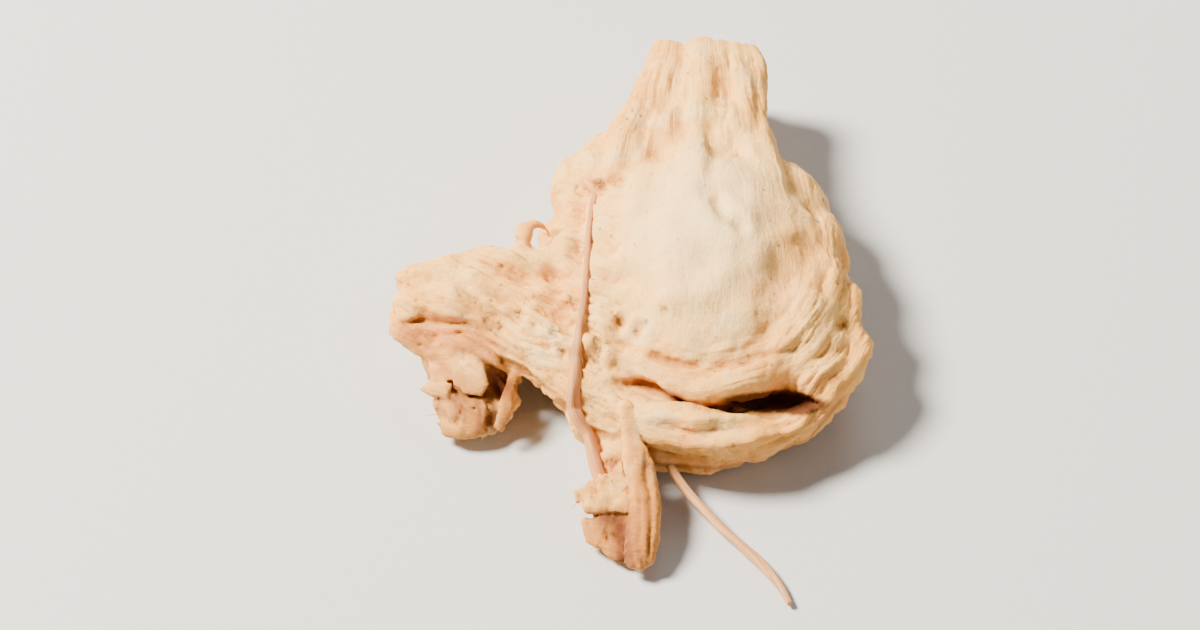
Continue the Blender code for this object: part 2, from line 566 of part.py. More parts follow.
def cut(mesh, cutter_mesh):
    """The mesh with the cutter taken out of it."""
    body = linked("body", mesh)
    cutter = linked("cutter", cutter_mesh)
    knife = body.modifiers.new("cut", "BOOLEAN")
    knife.operation = "DIFFERENCE"
    knife.object = cutter
    knife.solver = "MANIFOLD"
    result = evaluated_mesh(body)
    bpy.data.objects.remove(cutter)
    return without_crumbs(result)


def thinned(mesh, triangles):
    mesh.calc_loop_triangles()
    body = linked("thinned", mesh)
    fewer = body.modifiers.new("fewer faces", "DECIMATE")
    fewer.ratio = triangles / len(mesh.loop_triangles)
    return evaluated_mesh(body)


def climbing_points(mesh):
    """The climbing rootlet's points: its foot, then those dropped straight onto the face."""
    work = bmesh.new()
    work.from_mesh(mesh)
    skin = BVHTree.FromBMesh(work)
    work.free()
    points = list(CLIMBING_FOOT)
    for across, up, lift, radius in CLIMBING_ROOTLET:
        above = Vector((across, 0, 0)) + FACE_RISE * (up + FACE_OFFSET) + FACE_OUTWARD * KNIFE_BLOCK
        on_skin = skin.ray_cast(above, -FACE_OUTWARD)[0]
        points.append((*(on_skin + FACE_OUTWARD * lift), radius))
    return points


def with_rootlets(mesh):
    """The mesh with every rootlet joined to it."""
    rootlets = dict(WIRY_ROOTLETS, climbing=climbing_points(mesh))
    roots = bpy.data.collections.new("rootlets")
    for name, points in rootlets.items():
        linked(name, tube_mesh(name, points, ROOTLET_RINGS, ROOTLET_ROUNDNESS), roots)
    body = linked("body", mesh)
    join = body.modifiers.new("rootlets", "BOOLEAN")
    join.operation = "UNION"
    join.operand_type = "COLLECTION"
    join.collection = roots
    join.solver = "MANIFOLD"
    result = evaluated_mesh(body)
    for rootlet in list(roots.objects):
        bpy.data.objects.remove(rootlet)
    bpy.data.collections.remove(roots)
    return result


def skin_material():
    material = bpy.data.materials.new("dried skin")
    material.use_nodes = True
    shader = material.node_tree.nodes["Principled BSDF"]
    shader.inputs["Base Color"].default_value = SKIN_COLOUR
    shader.inputs["Roughness"].default_value = SKIN_ROUGHNESS
    return material


def build():
    clear_scene()
    mesh = cut(sculpted(fused_body()), slit_mesh())
    mesh = thinned(without_crumbs(with_broken_ends(mesh)), BODY_TRIANGLES)
    mesh = cut(mesh, half_space(NECK_CUT_POINT, NECK_CUT_NORMAL))
    mesh = cut(mesh, half_space(Vector((0, 0, REST_HEIGHT)), Vector((0, 0, -1))))
    mesh = with_rootlets(mesh)
    mesh.transform(Matrix.Scale(METRES_PER_MM, 4) @ Matrix.Translation(-ORIGIN))
    mesh.shade_smooth()
    mesh.set_sharp_from_angle(angle=CREASE_ANGLE)
    mesh.materials.append(skin_material())
    mesh.name = PIECE_NAME
    parts = bpy.data.collections.new(OBJECT_NAME)
    bpy.context.scene.collection.children.link(parts)
    linked(PIECE_NAME, mesh, parts)


build()
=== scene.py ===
import math
import random

import bmesh
import bpy
import numpy as np
from mathutils import Matrix, Vector, noise
from mathutils.bvhtree import BVHTree


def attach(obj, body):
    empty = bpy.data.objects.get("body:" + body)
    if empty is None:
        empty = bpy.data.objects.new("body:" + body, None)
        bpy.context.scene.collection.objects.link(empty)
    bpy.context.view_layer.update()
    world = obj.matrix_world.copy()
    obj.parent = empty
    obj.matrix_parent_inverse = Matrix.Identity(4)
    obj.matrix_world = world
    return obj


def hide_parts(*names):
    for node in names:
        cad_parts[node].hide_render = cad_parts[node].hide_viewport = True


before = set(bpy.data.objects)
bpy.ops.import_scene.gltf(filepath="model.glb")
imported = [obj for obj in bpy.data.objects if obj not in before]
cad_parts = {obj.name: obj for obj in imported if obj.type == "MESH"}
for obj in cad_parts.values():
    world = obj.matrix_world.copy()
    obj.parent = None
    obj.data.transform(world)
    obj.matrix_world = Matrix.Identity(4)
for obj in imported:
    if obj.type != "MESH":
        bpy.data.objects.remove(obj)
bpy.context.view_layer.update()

# Dried ginger root, one chopped piece. Shaped in millimetres about the middle of its crown,
# then moved and scaled to metres, so the numbers below are real sizes.
toMetres = 0.001
origin = Vector((-2.60, -2.13, 0.15))  # becomes the middle of the piece's box, on the floor

# Marks on the face are placed on a plane that slants back from the front: across (x) and up it.
face = dict(tilt=math.radians(50), offset=1.8)
face["outward"] = Vector((0, -math.cos(face["tilt"]), math.sin(face["tilt"])))
face["rise"] = Vector((0, math.sin(face["tilt"]), math.cos(face["tilt"])))

rhizome = dict(
    node="ginger_rhizome", slot="dried_flesh",
    restHeight=0.15, calmHeight=0.9,  # the underside is flat here, and calm for this far above it
    fuseGrid=0.13, smoothRounds=7, smoothFactor=0.5,
    neckCut=(Vector((0.9, 11.4, 4.0)), Vector((0.10, 1.0, 0.14)).normalized()),
    knifeBlock=60.0,
    rimMiddle=(0.4, -0.4), rimRadii=(7.3, 8.6), rimGrain=(7.9, 0.13),  # grain per radius, and per degree
    fanTip=(0.8, 22.0), fanGrain=17.0,  # where the neck's lines would meet, and grain per radian there
    armGrain=(0.50, 0.866),  # the way across the arm's folds
)

# swollen parts: centre and radii
rhizome["lobes"] = {
    "crown": ((0.6, -0.4, 3.5), (5.3, 6.0, 3.5)),
    "apron": ((0.7, -3.3, 3.6), (6.0, 4.1, 1.35)),
    "rightLobe": ((4.0, -2.7, 3.3), (3.25, 4.0, 2.2)),
    "rightSide": ((3.9, 0.2, 3.1), (2.9, 3.4, 1.9)),
    "rightShoulder": ((3.1, 2.6, 3.2), (2.9, 3.4, 2.2)),
    "leftLobe": ((-3.3, -1.8, 3.1), (3.0, 4.6, 2.3)),
    "leftSide": ((-3.4, 1.4, 2.9), (2.8, 2.8, 1.8)),
    "leftShoulder": ((-2.9, 3.4, 3.1), (2.9, 3.5, 2.2)),
    "neckRoot": ((0.6, 5.2, 3.4), (3.8, 4.2, 2.5)),
    "belly": ((-0.7, -1.0, 1.8), (4.9, 4.6, 1.95)),
    "lipJoin": ((5.6, -5.9, 3.1), (1.4, 1.7, 0.85)),
    "frontLeft": ((-2.3, -6.5, 2.7), (1.7, 1.2, 0.85)),
    "front": ((-1.2, -5.6, 2.2), (3.6, 2.6, 1.7)),
    "frontRight": ((2.4, -5.2, 1.7), (3.3, 2.7, 1.2)),
    "stubNeck": ((-3.1, -11.3, 1.05), (1.2, 1.9, 0.75)),
    "stubRoot": ((-3.1, -9.9, 1.2), (1.0, 1.5, 0.65)),
    "stubCore": ((-2.9, -12.9, 0.7), (0.95, 1.3, 0.5)),
    "crumpleRoot": ((-9.0, -4.2, 2.1), (2.3, 1.7, 1.2)),
    "crumpleCore": ((-9.3, -6.0, 1.25), (1.6, 1.1, 0.75)),
    "crumpleSide": ((-8.2, -5.9, 1.35), (1.0, 1.3, 0.75)),
    "crumpleLow": ((-9.3, -7.1, 0.9), (1.3, 0.7, 0.45)),
}

# strands of shrunken flesh: points along each one, with its radius there
rhizome["strands"] = {
    "neckLeft": [
        (-2.8, 2.5, 4.6, 1.3), (-2.2, 5.6, 4.3, 1.2), (-1.25, 8.6, 4.2, 1.05), (-0.7, 12.4, 3.9, 0.95),
    ],
    "neckMiddle": [(0.3, 1.5, 5.6, 1.3), (0.4, 6.0, 4.8, 1.2), (0.8, 9.0, 4.5, 1.15), (0.9, 12.4, 4.2, 1.1)],
    "neckRight": [(3.1, 2.2, 4.8, 1.4), (2.7, 5.6, 4.4, 1.25), (2.5, 8.6, 4.2, 1.15), (2.45, 12.4, 4.0, 1.0)],
    "neckUnder": [(0.6, 3.0, 2.8, 2.4), (0.7, 7.0, 2.9, 2.1), (0.9, 12.4, 3.0, 1.6)],
    "lipUpper": [
        (-5.2, -4.6, 2.9, 0.8), (-4.1, -6.6, 2.8, 0.8), (-2.4, -8.0, 2.7, 0.8), (0.2, -8.7, 2.6, 0.72),
        (2.0, -8.9, 2.3, 0.6), (3.7, -8.7, 2.3, 0.55), (5.4, -7.7, 2.7, 0.6), (6.8, -5.6, 3.3, 0.6),
        (7.0, -4.0, 3.45, 0.45), (6.2, -2.4, 3.6, 0.3),
    ],
    "lipLower": [
        (-5.1, -5.2, 2.0, 0.9), (-4.2, -7.3, 1.7, 0.9), (-2.6, -8.5, 1.5, 0.9), (0.2, -8.8, 1.4, 0.75),
        (3.2, -8.1, 1.6, 0.75), (5.3, -6.6, 2.0, 0.8), (6.4, -4.4, 2.6, 0.85),
    ],
    "armCore": [(-4.5, -2.4, 2.6, 1.8), (-8.0, -2.2, 2.6, 1.4), (-12.0, -2.2, 2.5, 1.0)],
    "armBack": [
        (-4.0, -0.2, 3.9, 1.3), (-7.6, -1.3, 3.7, 1.05), (-10.4, -1.4, 3.5, 1.15), (-12.2, -1.8, 3.1, 0.9),
    ],
    "armMiddle": [
        (-3.6, -3.6, 4.2, 0.9), (-7.2, -2.7, 3.9, 0.85), (-10.4, -2.4, 3.6, 0.85), (-12.3, -2.6, 3.0, 0.75),
    ],
    "armFoldUpper": [
        (-3.0, -6.0, 3.9, 0.5), (-5.4, -4.9, 4.0, 0.5), (-7.4, -3.7, 3.9, 0.5), (-9.4, -3.0, 3.5, 0.5),
        (-12.2, -3.0, 3.1, 0.5),
    ],
    "armFoldMiddle": [
        (-3.4, -6.9, 3.3, 0.45), (-5.6, -5.6, 3.4, 0.45), (-7.5, -4.4, 3.4, 0.45), (-9.5, -3.6, 3.1, 0.45),
        (-12.0, -3.5, 2.7, 0.45),
    ],
    "armFoldLower": [
        (-4.4, -7.0, 2.5, 0.45), (-6.0, -6.1, 2.7, 0.45), (-7.7, -4.9, 2.8, 0.45), (-9.6, -4.1, 2.6, 0.45),
        (-11.6, -3.9, 2.4, 0.45),
    ],
    "armRidge": [
        (-12.3, -2.6, 2.9, 0.36), (-12.1, -3.5, 2.9, 0.36), (-11.4, -4.3, 2.8, 0.34),
        (-10.7, -4.8, 2.7, 0.30),
    ],
    "curl": [
        (-6.5, -1.7, 4.0, 0.42), (-6.95, -1.0, 4.3, 0.36), (-7.05, -0.1, 4.5, 0.31), (-6.8, 0.7, 4.6, 0.28),
        (-6.35, 0.95, 4.5, 0.27), (-5.9, 0.8, 4.1, 0.28),
    ],
}

# broken flesh on the ends: corners as across and up on the face plane, and z
rhizome["chips"] = {
    "stubFacet": [
        (-2.9, -8.05, 2.5), (-4.85, -9.35, 1.85), (-4.85, -9.75, 1.7), (-4.3, -10.15, 1.55),
        (-2.6, -10.15, 2.05), (-2.5, -8.6, 1.2), (-4.8, -9.5, 1.1), (-4.0, -10.3, 0.7), (-2.5, -10.4, 0.7),
    ],
    "stubFoot": [
        (-4.5, -10.5, 1.15), (-3.8, -10.4, 1.35), (-3.5, -11.7, 0.9), (-4.35, -11.4, 0.75),
        (-4.4, -10.8, 0.35), (-3.3, -10.8, 0.35), (-3.5, -11.7, 0.35),
    ],
    "crumpleNeck": [
        (-11.2, -3.5, 2.6), (-10.1, -3.4, 2.8), (-10.0, -4.7, 2.5), (-10.9, -4.8, 2.3), (-10.9, -3.9, 1.7),
        (-10.1, -4.0, 1.7), (-10.4, -4.9, 1.6),
    ],
    "crumpleTip": [
        (-11.5, -5.1, 2.0), (-10.8, -4.65, 2.35), (-10.0, -4.9, 2.5), (-10.2, -5.5, 2.0),
        (-10.9, -5.5, 1.7), (-10.6, -5.0, 1.4), (-10.1, -5.3, 1.4),
    ],
    "crumpleTongue": [
        (-10.0, -4.1, 2.85), (-9.2, -3.8, 3.05), (-8.6, -4.2, 3.0), (-8.45, -4.9, 2.75), (-8.8, -5.35, 2.4),
        (-9.5, -5.25, 2.4), (-9.9, -4.9, 2.5), (-9.4, -4.2, 1.9), (-8.8, -4.8, 1.7), (-9.6, -5.0, 1.6),
    ],
    "crumpleSheet": [
        (-9.6, -5.45, 2.05), (-8.7, -5.45, 2.15), (-8.55, -6.3, 1.65), (-8.8, -6.9, 1.2), (-9.4, -6.8, 1.2),
        (-9.4, -5.6, 1.2), (-8.8, -5.7, 1.2), (-9.1, -6.6, 0.8),
    ],
    "crumpleFoot": [
        (-10.8, -6.5, 1.0), (-10.2, -6.35, 1.3), (-9.6, -6.6, 1.1), (-9.9, -7.1, 0.7), (-10.5, -7.0, 0.65),
        (-10.3, -6.6, 0.4), (-9.7, -6.8, 0.4), (-9.3, -6.5, 0.8),
    ],
}
# flat straps over them: across, up, z and half width
rhizome["straps"] = {
    "stub": [
        (-2.74, -5.4, 3.38, 0.14), (-2.64, -6.3, 3.28, 0.26), (-2.45, -7.2, 2.88, 0.40),
        (-2.15, -8.2, 2.45, 0.54), (-2.0, -9.4, 2.0, 0.62), (-2.0, -10.6, 1.6, 0.68),
        (-2.1, -11.7, 1.15, 0.66), (-2.4, -12.4, 0.85, 0.45),
    ],
    "crumple": [
        (-7.4, -4.5, 2.5, 0.28), (-7.65, -5.4, 2.2, 0.28), (-7.85, -6.2, 1.75, 0.26),
        (-8.1, -6.8, 1.3, 0.22),
    ],
    "crumpleStrip": [(-10.05, -5.3, 1.9, 0.30), (-10.0, -6.0, 1.6, 0.28), (-10.1, -6.7, 1.1, 0.24)],
}
rhizome["strapFlatness"] = 0.6

# creases on the face plane: points along each one, its width and its depth
rhizome["creases"] = [
    ([(-0.15, 10.6), (0.0, 8.3), (-0.3, 6.8), (-0.45, 5.0)], 0.35, 0.10),
    ([(1.45, 10.6), (1.6, 7.1), (1.0, 5.6), (0.75, 3.8)], 0.35, 0.11),
    ([(2.7, 9.5), (3.1, 7.9), (3.0, 6.0), (3.5, 4.2)], 0.35, 0.13),
    ([(-1.5, 7.2), (-2.0, 5.6), (-2.9, 4.0), (-3.0, 1.7)], 0.35, 0.15),
    ([(0.9, 3.2), (1.6, 2.0), (2.6, 1.4)], 0.35, 0.22),
    ([(-4.9, 5.2), (-4.5, 3.2), (-4.7, 1.4), (-4.7, -0.5)], 0.35, 0.25),
    ([(-1.5, -3.4), (-0.45, -4.0), (1.2, -3.9), (3.3, -3.5)], 0.30, 0.16),
    ([(-2.8, -4.8), (-1.8, -4.95), (-0.45, -5.45), (1.8, -5.8)], 0.24, 0.14),
    ([(-2.4, -6.4), (0.6, -6.9), (3.0, -6.8), (5.4, -6.1)], 0.26, 0.16),
    ([(-4.0, -7.0), (-1.0, -7.7), (2.2, -7.6), (4.4, -6.9)], 0.26, 0.14),
    ([(4.6, 1.5), (5.4, 0.6), (5.9, -0.9)], 0.45, 0.14),
    ([(-9.9, -0.6), (-8.9, -1.5), (-8.1, -2.4)], 0.30, 0.28),
    ([(-11.9, -2.1), (-9.4, -2.2), (-8.0, -2.9), (-5.6, -4.7)], 0.28, 0.22),
    ([(-11.3, -2.7), (-9.3, -2.8), (-8.0, -3.6), (-5.9, -5.3)], 0.28, 0.22),
    ([(-6.2, 0.9), (-5.6, -0.8), (-5.9, -2.2)], 0.40, 0.16),
]
# folds whose upper side laps over the lower: points from left to right, the step between the two sides,
# how far the lap reaches and the width of its edge
rhizome["laps"] = [
    ([(-3.5, -4.6), (-2.6, -4.75), (-1.5, -4.9), (-0.3, -5.35), (1.0, -5.65), (2.0, -5.75)], 0.30, 0.9, 0.10),
    ([(-1.7, -3.3), (-1.1, -3.75), (-0.4, -4.05), (0.9, -4.1)], 0.34, 0.6, 0.11),
    ([(0.5, -4.05), (2.0, -4.0), (3.6, -3.55), (4.9, -2.9)], 0.20, 0.7, 0.13),
    ([(-12.4, -2.4), (-11.3, -2.15), (-10.2, -2.25), (-9.3, -2.35), (-8.1, -2.75)], 0.30, 0.7, 0.10),
    ([(-10.6, -2.8), (-9.6, -2.75), (-8.6, -3.3), (-7.9, -3.8), (-6.7, -4.4), (-5.4, -5.5)], 0.24, 0.5, 0.09),
    ([(-9.4, -2.5), (-8.5, -2.95), (-7.7, -3.4), (-7.0, -3.8), (-5.9, -4.5)], 0.16, 0.35, 0.08),
    ([(-9.9, -3.25), (-9.0, -3.55), (-8.1, -4.25), (-7.2, -5.05), (-6.4, -5.7)], 0.30, 0.5, 0.09),
    ([(-2.0, -6.3), (-0.4, -6.6), (1.4, -6.75), (3.4, -6.6), (5.2, -6.0), (6.2, -5.0)], 0.12, 0.4, 0.09),
    ([(-1.6, -7.1), (0.6, -7.4), (2.6, -7.3), (4.4, -6.8), (5.6, -6.0)], 0.14, 0.4, 0.09),
    ([(-4.6, -6.3), (-3.7, -6.9), (-3.0, -7.1)], 0.14, 0.4, 0.10),
    ([(4.7, -0.6), (5.6, -0.75), (6.5, -1.2)], 0.08, 0.4, 0.14),
]
# pits on the face plane: across, up, radius and depth
rhizome["pits"] = [
    (-3.9, 3.5, 0.40, 0.24), (-2.95, -2.3, 0.30, 0.30), (-3.85, -3.5, 0.34, 0.22), (-2.2, -2.6, 0.28, 0.14),
    (-1.15, -1.8, 0.26, 0.12), (-7.3, -1.9, 0.36, 0.22), (6.5, -2.6, 0.36, 0.18), (-5.3, -2.1, 0.34, 0.18),
    (-3.5, 0.9, 0.30, 0.12), (2.2, 1.6, 0.34, 0.14),
]
rhizome["swells"] = [(3.1, 0.20, 0.50), (10.8, 0.42, 0.28), (18.5, 0.85, 0.17)]  # seed, waves per mm, height
rhizome["slit"] = dict(
    middle=Vector((3.45, -7.85, 3.3)), halves=(1.9, 1.6, 0.42), curve=0.01,
    facing=Matrix.Rotation(face["tilt"] - math.pi / 2, 3, "X") @ Matrix.Rotation(math.radians(3), 3, "Y"),
)

wiryRoots = dict(
    # the one that climbs the left of the face: its foot as x, y, z and radius, then across, up, height above
    # the skin and radius
    foot=[
        (-3.5, -11.0, 1.4, 0.26), (-3.9, -10.2, 1.75, 0.26), (-4.15, -9.2, 1.95, 0.27),
        (-4.35, -8.4, 2.2, 0.27),
    ],
    climbing=[
        (-4.75, -6.4, 0.10, 0.27), (-4.92, -5.6, 0.14, 0.27), (-4.86, -4.5, 0.14, 0.26),
        (-4.80, -3.5, 0.12, 0.24), (-4.70, -2.6, 0.10, 0.16), (-4.48, -1.4, 0.10, 0.14),
        (-4.37, 0.0, 0.09, 0.13), (-4.3, 1.3, 0.08, 0.12), (-4.15, 2.6, 0.05, 0.12),
        (-3.95, 3.5, -0.3, 0.11),
    ],
    # x, y, z and radius of those that stand clear, from inside the body out to the tip
    clear={
        "long": [
            (-1.3, -8.4, 1.5, 0.24), (-0.6, -10.0, 1.1, 0.20), (0.9, -12.0, 0.75, 0.19),
            (2.6, -13.8, 0.55, 0.21), (3.5, -15.0, 0.45, 0.19), (4.0, -16.1, 0.40, 0.12),
        ],
        "backLeft": [
            (-2.6, 3.6, 2.0, 0.36), (-3.1, 5.4, 1.2, 0.32), (-3.3, 6.6, 0.8, 0.26), (-2.7, 7.8, 0.6, 0.20),
        ],
        "backRight": [(2.8, 4.0, 2.0, 0.36), (3.7, 5.6, 1.2, 0.32), (3.6, 6.9, 0.9, 0.26)],
        "neckStub": [(0.6, 6.6, 2.0, 0.55), (0.8, 7.6, 1.0, 0.48), (0.9, 8.1, 0.6, 0.36)],
        "armStub": [(-8.2, -1.9, 2.0, 0.50), (-8.0, -1.6, 1.1, 0.44), (-7.7, -1.2, 0.7, 0.34)],
    },
)


def linked(name, data):
    obj = bpy.data.objects.new(name, data)
    bpy.context.scene.collection.objects.link(obj)
    return obj


def modified(mesh, kind, **settings):  # the mesh with one modifier applied
    body = linked("body", mesh)
    modifier = body.modifiers.new(kind, kind)
    for name, value in settings.items():
        setattr(modifier, name, value)
    graph = bpy.context.evaluated_depsgraph_get()
    result = bpy.data.meshes.new_from_object(body.evaluated_get(graph))
    bpy.data.objects.remove(body)
    return result


def meshFrom(work, name):
    mesh = bpy.data.meshes.new(name)
    work.to_mesh(mesh)
    work.free()
    return mesh


def ease(low, high, value):  # 0 below low, 1 above high
    share = np.clip((value - low) / (high - low), 0.0, 1.0)
    return share * share * (3 - 2 * share)


def noiseAt(seed, *coordinates):
    shift = Vector((seed, -seed * 0.7, seed * 1.3))
    return np.array([noise.noise(Vector(point) + shift) for point in zip(*coordinates)])


def puckers(seed, *coordinates):  # rounded ridges with sharp valleys, about level on average
    return np.abs(noiseAt(seed, *coordinates)) - 0.21


def smoothPath(points, steps):  # a curve through points of x, y, z and radius
    rows = [Vector(point) for point in points]
    rows = [2 * rows[0] - rows[1], *rows, 2 * rows[-1] - rows[-2]]
    path = []
    for a, b, c, d in zip(rows, rows[1:], rows[2:], rows[3:]):
        for step in range(steps):
            t = step / steps
            path.append(0.5 * (2 * b + (c - a) * t + (2 * a - 5 * b + 4 * c - d) * t ** 2
                               + (3 * b - a - 3 * c + d) * t ** 3))
    path.append(rows[-2])
    return path


tubeBumps = (1.6, 0.6)  # how fast they change round a tube, and along it per mm


def grownFrom(verts, vert):  # the one of these verts that this one was extruded from
    return next(edge.other_vert(vert) for edge in vert.link_edges if edge.other_vert(vert) in verts)


def growTube(work, path, sides, roughness=0.0, flatness=1.0):
    # a closed tube: an end cap extruded from point to point of x, y, z and radius
    aim = (path[1].xyz - path[0].xyz).normalized()
    side = aim.orthogonal().normalized()
    cap = bmesh.ops.create_circle(work, cap_ends=True, segments=sides, radius=1.0)["verts"]
    lid = next(f for f in cap[0].link_faces if len(f.verts) == sides)
    turns = {vert: 2 * math.pi * k / sides for k, vert in enumerate(lid.verts)}
    made = []
    grain = work.verts.layers.float_vector.get("rootGrain")
    around, onward = tubeBumps
    length = 0.0
    for index, point in enumerate(path):
        if index:
            new = bmesh.ops.extrude_face_region(work, geom=[lid])["geom"]
            if index > 1:  # the first lid stays as the start cap
                bmesh.ops.delete(work, geom=[lid], context="FACES_ONLY")
            lid = next(item for item in new if isinstance(item, bmesh.types.BMFace))
            cap = [item for item in new if isinstance(item, bmesh.types.BMVert)]
            turns = {vert: turns[grownFrom(turns, vert)] for vert in cap}
        made += sorted(turns, key=turns.get)
        ahead = path[min(index + 1, len(path) - 1)].xyz - path[max(index - 1, 0)].xyz
        turn = aim.rotation_difference(ahead.normalized())
        aim = ahead.normalized()
        side = (turn @ side).normalized()
        across = aim.cross(side)
        length += (point.xyz - path[max(index - 1, 0)].xyz).length
        for vert, angle in turns.items():
            spot = side * math.cos(angle) + across * math.sin(angle)
            bumps = noise.noise((math.cos(angle) * around, math.sin(angle) * around, length * onward))
            radius = point.w * (1 + roughness * bumps)
            spot -= face["outward"] * spot.dot(face["outward"]) * (1 - flatness)
            vert.co = point.xyz + spot * radius
            if grain:
                vert[grain] = (math.cos(angle), math.sin(angle), length)
    return made


def fusedSkin(mesh, grid):  # one skin round everything in the mesh
    return modified(mesh, "REMESH", mode="VOXEL", voxel_size=grid)


def largestPart(mesh):
    work = bmesh.new()
    work.from_mesh(mesh)
    left = set(work.verts)
    parts = []
    while left:
        part = set()
        edge = [left.pop()]
        while edge:
            vert = edge.pop()
            part.add(vert)
            nearby = {link.other_vert(vert) for link in vert.link_edges} & left
            left -= nearby
            edge.extend(nearby)
        parts.append(part)
    parts.sort(key=len)
    for part in parts[:-1]:
        bmesh.ops.delete(work, geom=list(part), context="VERTS")
    return meshFrom(work, "largest part")


def cut(mesh, cutterMesh):
    cutter = linked("cutter", cutterMesh)
    result = modified(mesh, "BOOLEAN", operation="DIFFERENCE", object=cutter, solver="MANIFOLD")
    bpy.data.objects.remove(cutter)
    return largestPart(result)


def halfSpace(point, normal):
    work = bmesh.new()
    turn = normal.to_track_quat("Z", "Y").to_matrix().to_4x4()
    size = rhizome["knifeBlock"]
    place = Matrix.Translation(point) @ turn @ Matrix.Translation((0, 0, size / 2))
    bmesh.ops.create_cube(work, size=size, matrix=place)
    return meshFrom(work, "half space")


def slitMesh():
    slit = rhizome["slit"]
    work = bmesh.new()
    shape = Matrix.Diagonal((*slit["halves"], 1.0))
    bmesh.ops.create_icosphere(work, subdivisions=4, radius=1.0, matrix=shape)
    for vert in work.verts:
        vert.co.z += slit["curve"] * vert.co.x ** 2
    place = Matrix.Translation(slit["middle"]) @ slit["facing"].to_4x4()
    bmesh.ops.transform(work, matrix=place, verts=work.verts)
    return meshFrom(work, "slit")


def fusedBody():
    work = bmesh.new()
    for centre, radii in rhizome["lobes"].values():
        place = Matrix.Translation(centre) @ Matrix.Diagonal((*radii, 1.0))
        bmesh.ops.create_icosphere(work, subdivisions=5, radius=1.0, matrix=place)
    for points in rhizome["strands"].values():
        growTube(work, smoothPath(points, 8), 16)
    bmesh.ops.recalc_face_normals(work, faces=work.faces)
    return fusedSkin(meshFrom(work, "lobes and strands"), rhizome["fuseGrid"])


def facePoint(across, up, height):
    return Vector((across, (up + face["offset"] - face["rise"].z * height) / face["rise"].y, height))


def withBrokenEnds(mesh):  # the chips and straps pushed into the folded body, all in one skin
    work = bmesh.new()
    for corners in rhizome["chips"].values():
        verts = [bmesh.ops.create_vert(work, co=facePoint(*corner))["vert"][0] for corner in corners]
        bmesh.ops.convex_hull(work, input=verts)
    for points in rhizome["straps"].values():
        path = smoothPath([(*facePoint(across, up, height), half) for across, up, height, half in points], 8)
        growTube(work, path, 16, flatness=rhizome["strapFlatness"])
    bmesh.ops.recalc_face_normals(work, faces=work.faces)
    work.from_mesh(mesh)
    return fusedSkin(meshFrom(work, "broken ends"), fineSkin["grid"])


def lineDistance(line, across, up):
    # how far each point is from a line on the face plane, how far along it, 0 to 1, and its side, 1 for above
    best = np.full(len(across), np.inf)
    along = np.zeros(len(across))
    side = np.ones(len(across))
    for index, ((x0, y0), (x1, y1)) in enumerate(zip(line, line[1:])):
        dx = x1 - x0
        dy = y1 - y0
        share = np.clip(((across - x0) * dx + (up - y0) * dy) / (dx * dx + dy * dy), 0.0, 1.0)
        gap = np.hypot(across - x0 - share * dx, up - y0 - share * dy)
        closer = gap < best
        along = np.where(closer, (index + share) / (len(line) - 1), along)
        side = np.where(closer, np.sign(dx * (up - y0) - dy * (across - x0)), side)
        best = np.minimum(gap, best)
    return best, along, side


def between(along, rise, fall):  # 0 at both ends of a line, 1 from rise to fall
    return np.minimum(ease(0.0, rise, along), 1 - ease(fall, 1.0, along))


def meshArrays(mesh):
    points = np.empty(len(mesh.vertices) * 3)
    normals = np.empty(len(mesh.vertices) * 3)
    mesh.vertices.foreach_get("co", points)
    mesh.vertex_normals.foreach_get("vector", normals)
    return points.reshape(-1, 3), normals.reshape(-1, 3)


def onFace(points, normals):  # across, up and how squarely each point faces the front
    up = points @ np.array(face["rise"]) - face["offset"]
    return points[:, 0], up, ease(0.05, 0.35, normals @ np.array(face["outward"]))


def markWander(points):  # how far the marks stray from the lines they are given
    return 0.22 * noiseAt(41.0, *(points * 0.6).T)


def faceMarks(points, normals):
    across, up, facing = onFace(points, normals)
    wander = markWander(points)
    height = np.zeros(len(points))
    for line, width, depth in rhizome["creases"]:
        gap, along = lineDistance(line, across + wander, up - wander)[:2]
        fade = 0.15 + 0.85 * between(along, 0.18, 0.82)
        bank = 0.45 * np.exp(-(((gap / width - 1.6) / 1.3) ** 2))
        height += depth * fade * (bank - np.exp(-((gap / width) ** 2)))
    for line, step, reach, edge in rhizome["laps"]:
        gap, along, side = lineDistance(line, across + 0.5 * wander, up - 0.5 * wander)
        fade = between(along, 0.2, 0.8)
        lap = 0.6 * np.tanh(side * gap / edge) * np.exp(-((gap / reach) ** 2))
        height += step * fade * (lap - 0.5 * np.exp(-(((side * gap + edge) / edge) ** 2)))
    for pitAcross, pitUp, radius, depth in rhizome["pits"]:
        gap = np.hypot(across - pitAcross + 0.6 * wander, (up - pitUp) * 0.8 - wander) / radius
        height += depth * (0.25 * np.exp(-3 * (gap - 1.5) ** 2) - np.exp(-(gap ** 2)))
    return height * facing


